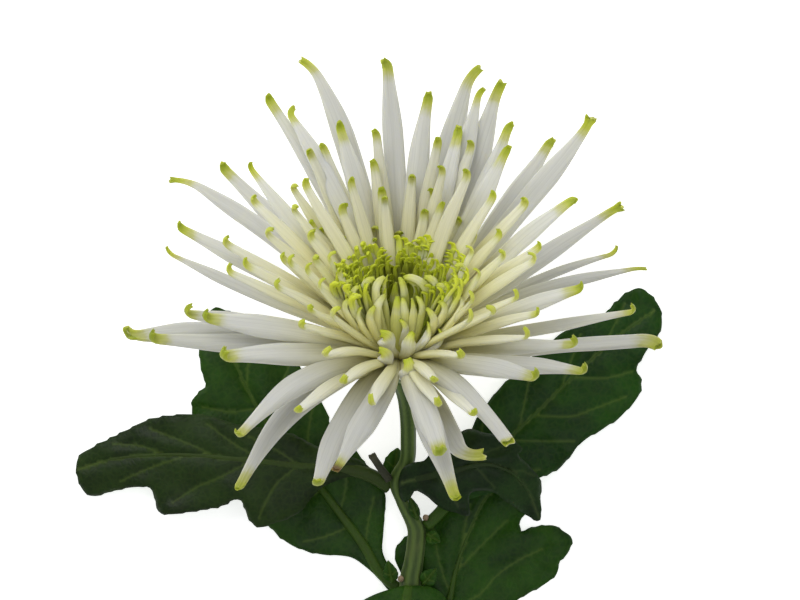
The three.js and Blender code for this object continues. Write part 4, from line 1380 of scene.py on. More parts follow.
@dataclass
class Involucre:
    """The green cup under the bloom, covered with rows of narrow bracts in a spiral."""

    centre: Array
    axis: Array
    tilt: float
    bract_count: int = 42
    golden_angle: float = 137.508
    seed: int = 11
    inside_radius: float = 5.6
    # The cup's outside, from the stalk to the rim: distance from the axis and height.
    outside: Table = (
        (2.3, -13.8), (2.75, -12.5), (2.85, -11.2), (3.2, -10.1), (4.2, -9.0), (5.4, -7.4), (6.2, -5.2),
        (6.5, -2.4))
    bract_lengths: tuple[float, ...] = (5.4, 8.2, 11.6)
    bract_start: float = 3.4
    bract_width: float = 2.3

    def cup(self) -> Skin:
        """Builds the cup as a closed shell round the receptacle.

        Returns:
            The skin, along +Z.
        """
        outer = rounded(self.outside, 0.9)
        turns = np.linspace(math.acos(2.4 / self.inside_radius), 0.12, 9)
        inner = np.column_stack([self.inside_radius * np.sin(turns), -self.inside_radius * np.cos(turns)])
        rings = lathe([*outer, *inner], 40)
        skin = loft(rings, (np.array([0, 0, self.outside[0][1]]), np.array([0, 0, -self.inside_radius])))
        skin.layers = {"edge": np.zeros(len(skin.points))}
        return skin

    def bract(self, length: float, seed: int) -> Skin:
        """Builds one bract lying on the cup, in the plane y = 0.

        Args:
            length: Its length from beside the stalk.
            seed: Seed of its own irregularity.

        Returns:
            The skin.
        """
        rng = random.Random(seed)
        path = rounded(self.outside, 0.2)
        beyond = path[-1] + np.outer(np.linspace(0.1, 1, 20), [0.35, 3.0])
        path = np.vstack([path, beyond])
        arc = arc_lengths(path)
        places = np.linspace(self.bract_start, self.bract_start + length, 12)
        spine = np.column_stack([np.interp(places, arc, path[:, k]) for k in range(2)])
        slope = unit(np.gradient(spine, axis=0))
        normal = np.column_stack([slope[:, 1], -slope[:, 0]])
        t = (places - self.bract_start) / length
        half = 0.5 * self.bract_width * (1 - t ** 2.6) * lerp(0.75, 1.0, smooth(0, 0.4, t)) + 0.06
        lift = 0.35 + 0.7 * t ** 3 * rng.uniform(0.4, 1.6)
        cos, sin = np.cos(circle(8)), np.sin(circle(8))
        wide = half[:, None] * cos
        keel = 0.12 * bell(wide, 0.3) * (sin > 0)
        out = lift[:, None] + 0.24 * sin - 0.06 * wide ** 2 + keel
        rings = np.stack([spine[:, :1] + normal[:, :1] * out, wide, spine[:, 1:] + normal[:, 1:] * out],
                         axis=2)
        skin = loft(rings, (rings[0].mean(axis=0), rings[-1].mean(axis=0)))
        edge = np.maximum(np.abs(cos) ** 3, smooth(0.75, 1.0, t)[:, None])
        skin.layers = {"edge": np.concatenate([edge.ravel(), [0.0, 1.0]])}
        return skin

    def tree(self, patterns: Sequence[Object], values: dict[str, object]) -> NodeTree:
        """Builds the tree that sets the bracts round the cup.

        Args:
            patterns: One bract for each row, the outermost and shortest first.
            values: The tree's inputs.

        Returns:
            The geometry tree.
        """
        tree, add, given = new_tree("bract_spiral", values)
        index = add("GeometryNodeInputIndex")
        points = add("GeometryNodePoints", {"Count": given["Count"]})
        share = add("ShaderNodeMath", {0: index, 1: given["Count"]}, operation="DIVIDE")
        row = add("ShaderNodeMath", {0: share, 1: float(len(self.bract_lengths))}, operation="MULTIPLY")
        row = add("ShaderNodeMath", {0: row}, operation="FLOOR")
        degrees = add("ShaderNodeMath", {0: index, 1: given["Golden Angle"]}, operation="MULTIPLY")
        turn = add("ShaderNodeMath", {0: degrees}, operation="RADIANS")
        size = add("FunctionNodeRandomValue", {2: 0.98, 3: 1.02, "ID": index, "Seed": given["Seed"]},
                   data_type="FLOAT")
        angles = add("ShaderNodeCombineXYZ", {"Z": turn})
        rotation = add("FunctionNodeEulerToRotation", {"Euler": angles})
        placed = add("GeometryNodeInstanceOnPoints", {"Points": points, "Instance": join_patterns(tree,
                     patterns), "Pick Instance": True, "Instance Index": row, "Rotation": rotation,
                     "Scale": size})
        both = add("GeometryNodeJoinGeometry", {0: placed})
        feed(both, {0: given["Geometry"]})
        end_tree(add, both, given["Scales"])
        return tree

    def build(self) -> None:
        """Grows the cup with its bracts and dresses it."""
        scales = PlantScrap("bract_scales", dark="#46622f", pale="#a3a878", grain_mm=0.8,
                            roughness=0.55).material()
        patterns = [self.bract(length, seed).to_object(f"bract_pattern_{seed}", scales)
                    for seed, length in enumerate(self.bract_lengths)]
        source = self.cup().to_object("involucre_source", scales)
        values = {"Count": self.bract_count, "Golden Angle": self.golden_angle, "Seed": self.seed,
                  "Scales": scales}
        made = run_tree(source, self.tree(patterns, values), values, "involucre_bracts", patterns)
        turn_to_axis(made, self.centre, self.tilt)
        dress(made, "bracts", "involucre")


# ---- leaves ----

def distance_to(line: Array, points: Array) -> tuple[Array, Array]:
    """Measures how far points seen from above are from a line.

    Args:
        line: Points of the line, two numbers each.
        points: The points, two numbers each.

    Returns:
        Each point's distance, and the share of the line's length where it is nearest.
    """
    start, way = line[:-1], np.diff(line, axis=0)
    square = np.maximum((way ** 2).sum(axis=1), 1e-9)
    t = np.clip(((points[:, None] - start) * way).sum(axis=2) / square, 0, 1)
    away = np.linalg.norm(points[:, None] - start - t[..., None] * way, axis=2)
    nearest = away.argmin(axis=1)
    arc = arc_lengths(line)
    rows = np.arange(len(points))
    share = (arc[nearest] + t[rows, nearest] * np.sqrt(square[nearest])) / arc[-1]
    return away[rows, nearest], share


def inside(outline: Array, points: Array) -> Array:
    """Tells which points seen from above are inside a closed outline.

    Args:
        outline: Points of the outline, two numbers each.
        points: The points, two numbers each.

    Returns:
        True for each point inside.
    """
    a, b = outline, np.roll(outline, -1, axis=0)
    x, y = points[:, :1], points[:, 1:2]
    crosses = (a[:, 1] > y) != (b[:, 1] > y)
    slope = (b[:, 0] - a[:, 0]) / np.where(b[:, 1] == a[:, 1], 1e-9, b[:, 1] - a[:, 1])
    return ((crosses & (x < a[:, 0] + slope * (y - a[:, 1]))).sum(axis=1) % 2).astype(bool)


@dataclass
class Leaf:
    """A lobed leaf: an outline, a rib with its heights, side veins, and how its blade falls and waves."""

    rib: Sequence[Point]
    outline: Sequence[Point]
    veins: Sequence[Sequence[Point]]
    finish: str = ""
    sag: float = 0.0
    stalk: float = 1.2
    wave: float = 0.5
    bulge: float = 0.55
    grid: float = 0.95
    thickness: float = 0.45
    floor: float = 0.05
    tooth_mm: float = 0.42
    rib_groove: float = 0.45
    vein_groove: float = 0.25
    rib_ridge: float = 0.55
    vein_ridge: float = 0.25
    margin_curl: float = 0.35
    wave_lengths: tuple[float, ...] = (31.0, 17.0, 11.0)
    seed: int = 0

    def toothed(self, outline: Array, foot: Array) -> Array:
        """Cuts the small uneven teeth of the margin.

        Args:
            outline: Closed outline seen from above.
            foot: Where the stalk begins. The margin is whole near it.

        Returns:
            The outline with its teeth.
        """
        rng = random.Random(self.seed + 77)
        ahead, behind = np.roll(outline, -1, axis=0), np.roll(outline, 1, axis=0)
        along = unit(ahead - behind)
        area = np.sum(outline[:, 0] * ahead[:, 1] - ahead[:, 0] * outline[:, 1])
        outward = np.column_stack([along[:, 1], -along[:, 0]]) * np.sign(area)
        push, spot = np.zeros(len(outline)), 0
        while spot < len(outline):
            points, high = rng.randint(3, 6), self.tooth_mm * rng.uniform(0.15, 1.0)
            rise = np.linspace(0.0, 1.0, points)[:max(0, len(outline) - spot)]
            push[spot:spot + points] = high * (rise ** 1.5 - 0.35)
            spot += points
        push *= smooth(14, 30, np.linalg.norm(outline - foot, axis=1))
        return outline + outward * push[:, None]

    def flat_mesh(self, outline: Array, lines: Sequence[Array]) -> tuple[Array, list]:
        """Fills the outline with triangles that follow the veins.

        Args:
            outline: Closed outline seen from above.
            lines: The rib and the veins, seen from above.

        Returns:
            Points, two numbers each, and triangles.
        """
        rng = np.random.default_rng(self.seed)
        low, high = outline.min(axis=0), outline.max(axis=0)
        columns = np.arange(low[0], high[0], self.grid)
        rows = np.arange(low[1], high[1], self.grid * 0.87)
        x, y = np.meshgrid(columns, rows)
        x = x + (np.arange(len(rows)) % 2)[:, None] * self.grid / 2
        cloud = np.column_stack([x.ravel(), y.ravel()]) + rng.uniform(-0.16, 0.16, (x.size, 2)) * self.grid
        edge = np.vstack([outline, outline[:1]])
        keep = inside(outline, cloud) & (distance_to(edge, cloud)[0] > 0.5 * self.grid)
        tracks = []
        for line in lines:
            within = line[inside(outline, line) & (distance_to(edge, line)[0] > 0.35 * self.grid)]
            if len(within) > 2:
                tracks.append(within)
                keep &= distance_to(within, cloud)[0] > 0.42 * self.grid
        points = [tuple(p) for p in np.vstack([outline, *tracks, cloud[keep]])]
        joints, start = [], len(outline)
        for track in tracks:
            joints += [(start + k, start + k + 1) for k in range(len(track) - 1)]
            start += len(track)
        ring = list(range(len(outline)))
        result = delaunay_2d_cdt(points, joints, [ring], 1, 1e-4)
        return np.array([tuple(v) for v in result[0]]), [tuple(f) for f in result[2]]

    def heights(self, flat: Array, outline: Array, rib: Array, veins: Sequence[Array]) -> dict[str, Array]:
        """Shapes the blade: rib, sag, sunken veins, bulges between them and a waved margin.

        Args:
            flat: Points seen from above.
            outline: Closed outline.
            rib: The rib with its heights.
            veins: The side veins seen from above.

        Returns:
            Heights of the top and of the underside, and the strength of the veins.
        """
        rng = random.Random(self.seed)
        away = np.linalg.norm(flat[:, None] - rib[None, :, :2], axis=2)
        nearest = away.min(axis=1)
        weight = np.exp(-(away ** 2 - nearest[:, None] ** 2) / (2 * 4.5 ** 2))
        ribbed = (weight * rib[:, 2]).sum(axis=1) / weight.sum(axis=1)
        base = ribbed + self.sag * nearest
        from_rib, along = distance_to(rib[:, :2], flat)
        side = np.min([distance_to(vein, flat)[0] for vein in veins] or [np.full(len(flat), 99.0)], axis=0)
        margin, round_share = distance_to(np.vstack([outline, outline[:1]]), flat)
        width = lerp(1.1, 0.5, along)
        groove = self.rib_groove * bell(from_rib, width) + self.vein_groove * bell(side, 0.75)
        swell = self.bulge * (1 - bell(np.minimum(from_rib, side), 2.6)) * settle(margin, 2.2)
        length = arc_lengths(np.vstack([outline, outline[:1]]))[-1]
        waves = sum(rng.uniform(0.4, 1.0) * np.sin(2 * np.pi * round_share * round(length / period)
                                                   + rng.uniform(0, 6)) for period in self.wave_lengths)
        waved = self.wave * waves * np.exp(-margin / 5.5) * settle(from_rib, 3.0)
        drift = 0.35 * self.bulge * sum(
            np.sin(flat @ np.array([rng.uniform(-1, 1), rng.uniform(-1, 1)]) * 0.45 + rng.uniform(0, 6))
            for _ in range(4))
        drift = drift * settle(from_rib, 4.0)
        curl = self.margin_curl * np.exp(-margin / 0.9)
        top = base + swell + waved + drift - groove - curl + self.thickness / 2
        raised = self.rib_ridge * bell(from_rib, width) + self.vein_ridge * bell(side, 0.6)
        thin = self.thickness * lerp(0.55, 1.0, settle(margin, 0.8))
        top = np.maximum(top, self.floor + thin)
        bottom = np.maximum(top + groove * 0.6 - thin - raised, self.floor)
        vein = np.maximum(lerp(0.9, 0.6, along) * bell(from_rib, lerp(0.5, 0.28, along)),
                          0.45 * bell(side, 0.28))
        return {"top": top, "bottom": bottom, "vein": vein}

    def skin(self) -> Skin:
        """Builds the closed blade and its stalk.

        Returns:
            The skin with the layers vein and under.
        """
        rib = rounded(self.rib, 0.8)
        outline = self.toothed(rounded(self.outline, self.grid, closed=True), rib[0, :2])
        veins = [rounded(vein, 0.8) for vein in self.veins]
        flat, triangles = self.flat_mesh(outline, [rib[:, :2], *veins])
        made = self.heights(flat, outline, rib, veins)
        count = len(flat)
        points = np.vstack([np.column_stack([flat, made["top"]]), np.column_stack([flat, made["bottom"]])])
        faces = [face for a, b, c in triangles for face in ((a, b, c), (c + count, b + count, a + count))]
        edges = dict.fromkeys(edge for a, b, c in triangles for edge in ((a, b), (b, c), (c, a)))
        faces += [(b, a, a + count, b + count) for a, b in edges if (b, a) not in edges]
        vein = np.concatenate([made["vein"], 0.5 * made["vein"]])
        under = np.concatenate([np.zeros(count), np.ones(count)])
        blade = Skin(points, faces, {"vein": vein, "under": under}).outward()
        return Skin.joined([blade, self.stalk_skin(rib)])

    def stalk_skin(self, rib: Array) -> Skin:
        """Builds the stalk that goes on under the blade as its main rib.

        Args:
            rib: The rib with its heights, from the stem outwards.

        Returns:
            The skin.
        """
        share = np.linspace(0, 1, len(rib))
        radius = self.stalk * lerp(1.0, 0.22, smooth(0.0, 0.75, share))
        ahead = unit(np.gradient(rib, axis=0))
        side = unit(np.cross(ahead, [0.0, 0.0, 1.0]))
        rise = np.cross(side, ahead)
        phi = circle(12)
        drop = radius * lerp(0.25, 0.85, smooth(0.03, 0.2, share))
        middle = rib - rise * drop[:, None]
        middle[:, 2] = np.maximum(middle[:, 2], self.floor + radius)
        high = np.sin(phi) * (1 - 0.35 * (np.sin(phi) > 0) * bell(np.cos(phi), 0.5))
        rings = hoops(middle, side, rise, radius[:, None] * np.cos(phi), radius[:, None] * high)
        skin = loft(rings, (middle[0], middle[-1]))
        count = len(skin.points)
        skin.layers = {"vein": np.full(count, 0.35), "under": np.full(count, 0.0)}
        return skin


@dataclass
class Foliage:
    """All the leaves and the leaflets at the nodes, measured from the floor under the bloom's centre."""

    ground: Array
    leaves: dict[str, Leaf] = field(default_factory=lambda: {
        "leaf_left_front": Leaf(
            finish="left_leaf_blade", sag=-0.06, stalk=1.9, seed=21,
            rib=[(-2.7, -37.6, 7.2), (-6.2, -35.2, 8.4), (-10.5, -33.4, 9.4), (-15.9, -32.6, 10.2),
                (-26.5, -31.8, 11), (-41.9, -30.2, 10.5), (-59.4, -28.9, 8), (-76.3, -30.2, 4),
                (-85.4, -33, 1.6)],
            outline=[(-3.4, -36.2), (-7.6, -32.6), (-10.6, -30.4), (-21.7, -26.8), (-28.9, -23.3),
                (-43.7, -20.7), (-51.7, -18.4), (-59.6, -18.4), (-66.5, -19.6), (-71.2, -21.8),
                (-76.9, -24.6), (-81.6, -27), (-85.3, -29.7), (-85.8, -32.6), (-85.3, -35.8), (-84, -38.4),
                (-81.9, -40), (-76.9, -38.9), (-72.3, -37.9), (-68.1, -37.4), (-66, -38), (-65, -40.4),
                (-64.4, -43.4), (-62.5, -44.7), (-58, -44.5), (-52.7, -43.7), (-47.4, -42.7),
                (-43.5, -40.9), (-41.8, -41.2), (-41, -43.6), (-39.6, -46.6), (-37.4, -48.2),
                (-33.9, -47.3), (-27, -44.5), (-21.2, -38), (-16.7, -35.8), (-13.3, -34.8), (-9.8, -35.2),
                (-5.8, -37.6), (-3.6, -39)],
            veins=[[(-26.5, -31.8), (-33, -27.6), (-40.2, -24)], [(-35, -31), (-44, -26), (-51, -20.8)],
                [(-48, -29.6), (-57, -25.6), (-66.5, -22)], [(-62, -29), (-69, -26.6), (-76, -26.2)],
                [(-27, -31.8), (-33, -37), (-37.4, -45.6)],
                [(-39, -30.4), (-47, -34.6), (-53.5, -37.4), (-60.2, -41.6)],
                [(-56, -29), (-66, -32.4), (-74, -36)]]),
        "leaf_left_back": Leaf(
            finish="back_leaf_blade", sag=0.01, stalk=1.5, seed=22,
            rib=[(-0.5, -64.4, 2.6), (-5.6, -59.9, 2), (-9.3, -53.5, 1.6), (-15.9, -44.5, 1.1),
                (-21.2, -37.6, 1), (-35.2, -20.7, 1), (-41.6, -9.3, 1.2), (-46, 2, 1.6), (-47.6, 9, 2)],
            outline=[(-1, -62.4), (-2.9, -58.6), (-4.6, -54.6), (-4.4, -50), (-4, -44.5), (-3.9, -39.5),
                (-7.4, -34), (-12.7, -26.5), (-18.6, -20.7), (-18.9, -18.8), (-20.6, -15.4), (-24.6, -8.5),
                (-28.4, -3), (-33.1, 2.7), (-38, 6), (-43.2, 8.2), (-46, 9.2), (-48.8, 10.1), (-50.8, 8.6),
                (-52.4, 4), (-53.2, -0.8), (-52.7, -6.4), (-51.6, -10.9), (-53.4, -12.4), (-55, -14.6),
                (-55, -18), (-52.6, -23), (-50.4, -29), (-46, -36.4), (-41, -42), (-36, -46.8),
                (-30.5, -51.9), (-25.7, -54.3), (-21.2, -55.4), (-13, -56.2), (-9, -58.8), (-5.8, -61.7),
                (-2.4, -65.2)],
            veins=[[(-9.3, -53.5), (-8.4, -47), (-7, -40.5)], [(-15.9, -44.5), (-14.2, -36), (-14.5, -28)],
                [(-24, -34), (-24.4, -25), (-23, -15)], [(-34, -22), (-32.4, -13), (-29, -4.6)],
                [(-40.6, -11.4), (-40, -4), (-37, 3)], [(-13.4, -48), (-19.6, -50.6), (-25.6, -52)],
                [(-20.6, -38.4), (-29, -42.4), (-36.4, -43.6)],
                [(-30.4, -26.6), (-38.6, -29.4), (-46.6, -30.4)],
                [(-37.6, -16.6), (-44.4, -17.6), (-52.4, -16.4)]]),
        "leaf_right": Leaf(
            finish="right_leaf_blade", sag=-0.03, stalk=1.6, seed=23,
            rib=[(6.8, -47.9, 5.2), (10.2, -44.6, 5.5), (14.6, -39.8, 5.4), (22.3, -31, 4.6),
                (36.8, -17.2, 3.4), (49.3, -5, 2.8), (59.1, 3.4, 2.8), (67.4, 9.2, 2.2)],
            outline=[(7.2, -46.4), (10.6, -41.6), (14.2, -35.8), (16.4, -28.6), (19.1, -21.7),
                (23.6, -14.6), (28.1, -9.5), (33.4, -4.4), (39, 0.1), (42.7, 3.2), (47.6, 5.2), (53.3, 7.7),
                (57, 11.4), (60, 13.9), (63.3, 15.2), (65.7, 14), (67.8, 11.9), (69.3, 8.4), (69.3, 5),
                (68.1, 1.9), (65.7, -1.1), (63.6, -4.2), (62.7, -6.9), (63.9, -8.9), (63.8, -12.2),
                (61.7, -15.5), (58.6, -18.8), (54.9, -21.5), (50.4, -24.1), (47.4, -26.4), (44.8, -29.9),
                (41.9, -32.8), (38.2, -34.7), (31.8, -36.9), (24.5, -39), (16.9, -41.4), (12, -44.6),
                (8, -48.6)],
            veins=[[(22, -31.4), (21.6, -24), (22.4, -17.4)], [(31.4, -22.4), (33.2, -14), (34.8, -5.4)],
                [(42.4, -12), (45.4, -4), (47.8, 3)], [(53, -1.6), (56.6, 5), (59.6, 11)],
                [(20.6, -33), (28.4, -34.4), (37, -33)], [(28.6, -25), (38.2, -25.4), (46, -25.4)],
                [(35.4, -18.6), (45.6, -18.8), (51.7, -16.7), (59.9, -13.6)],
                [(46, -8.4), (54.6, -8.6), (61.4, -7)], [(57, 1.6), (61.6, 1.4), (66, 1.6)]]),
        "leaf_right_front": Leaf(
            finish="arched_leaf_blade", sag=-0.2, stalk=1.3, wave=0.8, bulge=0.8, seed=24,
            rib=[(0.6, -36.4, 10.6), (3.4, -35.6, 13), (7, -34.8, 15.4), (14.8, -33, 18),
                (22.6, -31.4, 18.6), (30, -34, 16.5), (34.6, -40, 12.6), (36.9, -46.2, 9)],
            outline=[(-0.2, -34.8), (0.9, -32.3), (3.4, -31), (6.4, -30.4), (7.9, -28.7), (12.5, -26),
                (15.9, -22.9), (18.3, -22), (21.7, -22.9), (26, -23.8), (30.2, -25.2), (32.4, -27.6),
                (31.2, -28.6), (34.2, -31.8), (36.6, -34.7), (37.5, -36.8), (37.2, -40), (37, -46.4),
                (33.1, -44.8), (30.2, -42.9), (27, -40.5), (24.4, -38.7), (21.7, -38.4), (18.6, -39.2),
                (18.3, -42), (18.4, -45), (14.8, -44.3), (11.7, -43.5), (9.3, -41.9), (7.2, -40),
                (5, -38.7), (4, -38.4), (3, -40), (1.3, -41.6), (0, -40.2), (-0.3, -37.6)],
            veins=[[(9, -34.4), (12.6, -30), (16.2, -25)], [(17.6, -32.2), (22.6, -28.4), (28.4, -26.2)],
                [(9.4, -34.2), (12.4, -38), (15.4, -42.6)], [(20, -32), (22.6, -35), (25, -37.6)],
                [(28.6, -33), (32.2, -33.2), (35.6, -34.6)]]),
        "leaf_right_lower": Leaf(
            finish="lower_leaf_blade", stalk=1.4, seed=25,
            rib=[(8.6, -86.2, 1.9), (10.6, -76.9, 0.8), (13.2, -67.3, 0.6), (14.8, -59.6, 0.6),
                (18.3, -49.6, 0.6), (22.8, -40.6, 0.6), (26, -37.4, 0.6)],
            outline=[(8.6, -84), (7.6, -76), (5, -70), (2.1, -64.9), (0, -60), (-1.3, -56.4), (-1.1, -53.6),
                (0.4, -51.7), (5.3, -47.7), (11.7, -44), (15.4, -41.6), (19.1, -38.4), (23, -36),
                (27, -36.2), (30, -38.4), (32.6, -41.6), (32.9, -44.8), (31.6, -47.4), (32.2, -49.2),
                (34.5, -48.3), (37.9, -47.7), (40.5, -47.7), (43.5, -49.2), (45.4, -51), (45.1, -54.1),
                (42.4, -57.4), (41.9, -59.6), (40.3, -62), (36.8, -64.2), (31.5, -67.3), (23.9, -72.9),
                (14.6, -79.5), (10.2, -85.6)],
            veins=[[(11.4, -74), (8, -66), (3, -57.4)], [(13.4, -66.4), (10.6, -58), (8.8, -48.6)],
                [(16, -56), (17, -49), (18.6, -42)],
                [(12.4, -70), (20.6, -66.4), (25.2, -61.5), (30.5, -57.5), (37.6, -54)],
                [(14.6, -60.4), (21, -53.6), (28.4, -46.4)]]),
        "leaf_bottom_front": Leaf(
            finish="lower_leaf_blade", sag=-0.24, stalk=1.5, wave=0.8, seed=26,
            rib=[(2.2, -63.8, 7), (1.4, -69, 8.6), (0.4, -80, 10), (-1, -94, 9.6), (-3.4, -110, 8),
                (-5, -124, 6.4)],
            outline=[(4.2, -63.6), (7.6, -63.8), (10.6, -65.2), (13.6, -69), (17, -74), (17.4, -80),
                (15.4, -85), (17.6, -90), (18, -96), (15, -103), (12.5, -109), (8, -115), (2, -121),
                (-4, -125), (-9, -122), (-13, -118), (-17.6, -111), (-20.6, -103), (-21, -97), (-17.4, -91),
                (-16.2, -86), (-18, -81), (-17, -76), (-13, -70), (-10.3, -67.8), (-6.9, -66),
                (-3.2, -64.7), (0.5, -63.7)],
            veins=[[(1, -74), (8, -74), (14, -75.6)], [(0, -84), (8, -88), (15.6, -92.6)],
                [(-1.6, -98), (5, -104), (11, -110)], [(1, -74), (-6, -74), (-13, -76)],
                [(0, -84), (-8, -89), (-17, -96)], [(-1.6, -98), (-8, -104), (-14, -111)]]),
    })

    def shifted(self, points: Sequence[Point]) -> list[Point]:
        """Moves places to the frame."""
        return [tuple(c + s for c, s in zip(point, self.ground)) for point in points]

    def build(self) -> None:
        """Builds and dresses every leaf."""
        finishes = (LeafBlade("left_leaf_blade", deep="#142409", light="#22380d", vein="#5e7230"),
                    LeafBlade("back_leaf_blade", deep="#143205", light="#264c08"),
                    LeafBlade("right_leaf_blade", deep="#0f3204", light="#1f4a06"),
                    LeafBlade("arched_leaf_blade", deep="#0e210a", light="#203c12", vein="#4c5c30"),
                    LeafBlade("lower_leaf_blade", deep="#133404", light="#285205"))
        blades = {finish.name: finish.material() for finish in finishes}
        for node, leaf in self.leaves.items():
            leaf.rib = self.shifted(leaf.rib)
            leaf.outline = self.shifted(leaf.outline)
            leaf.veins = [self.shifted(vein) for vein in leaf.veins]
            dress(leaf.skin().to_object(node.replace("leaf", "blade"), blades[leaf.finish]), "leaf", node)
        Leaflets(self.ground).build(blades["lower_leaf_blade"])


@dataclass
class Leaflets:
    """The small pointed leaflets at the nodes of the stem."""

    ground: Array
    first_seed: int = 40
    # Length, width, where each starts, the way it points, and how far it bends back.
    forms: dict[str, tuple[float, float, Point, Point, float]] = field(default_factory=lambda: {
        "leaflet_upper": (8.0, 6.4, (-1.6, -35, 4.8), (0.12, 1, -0.05), 0.5),
        "leaflet_middle_upright": (6.5, 2.8, (4.7, -46.2, 7.6), (-0.35, 1, 0.3), 0.8),
        "leaflet_middle_round": (4.2, 3.8, (7, -49.8, 6), (0.8, -0.5, 0.2), 0.5),
        "leaflet_lower_left": (6.0, 4.0, (-2, -62.9, 5.2), (-0.2, 1, 0.4), 0.8),
        "leaflet_lower_right": (5.5, 4.5, (6, -63.4, 5.6), (0.75, 0.9, 0.35), 0.8),
    })

    def outline(self, length: float, width: float) -> list[Point]:
        """Draws a blunt, slightly wavy oval along +X from the origin.

        Args:
            length: How far it reaches.
            width: How wide it is.

        Returns:
            Its corners.
        """
        upper = []
        for k in range(1, 10):
            t = k / 10
            tooth = 1 + 0.04 * math.cos(k * math.pi)
            upper.append((length * t, 0.5 * width * math.sin(math.pi * t ** 0.8) ** 0.8 * tooth))
        lower = [(x, -y) for x, y in reversed(upper)]
        return [(0, 0.4), *upper, (length, 0), *lower, (0, -0.4)]

    def build(self, blade: Material) -> None:
        """Builds and dresses every leaflet.

        Args:
            blade: The leaves' finish.
        """
        for number, (node, (length, width, start, way, bend)) in enumerate(self.forms.items()):
            rib = [(0, 0, 0), (length / 2, 0, 0.3), (length * 0.98, 0, 0)]
            veins = [[(length * 0.3, 0), (length * 0.5, side * width * 0.35)] for side in (-1, 1)]
            leaf = Leaf(rib=rib, outline=self.outline(length, width), veins=veins, stalk=0.45, wave=0.1,
                        bulge=0.15, grid=0.45, thickness=0.35, floor=-9.0, sag=0.25, tooth_mm=0.1,
                        seed=self.first_seed + number)
            skin = leaf.skin()
            skin.points[:, 2] -= bend * (skin.points[:, 0] / length) ** 2
            ahead = unit(np.array(way, float))
            side = unit(np.cross([0.0, 0.0, 1.0], ahead))
            turned = skin.points @ np.array([ahead, side, np.cross(ahead, side)])
            skin.points = turned + np.array(start) + self.ground
            dress(skin.to_object(node + "_blade", blade), "leaf", node)


# ---- stem ----

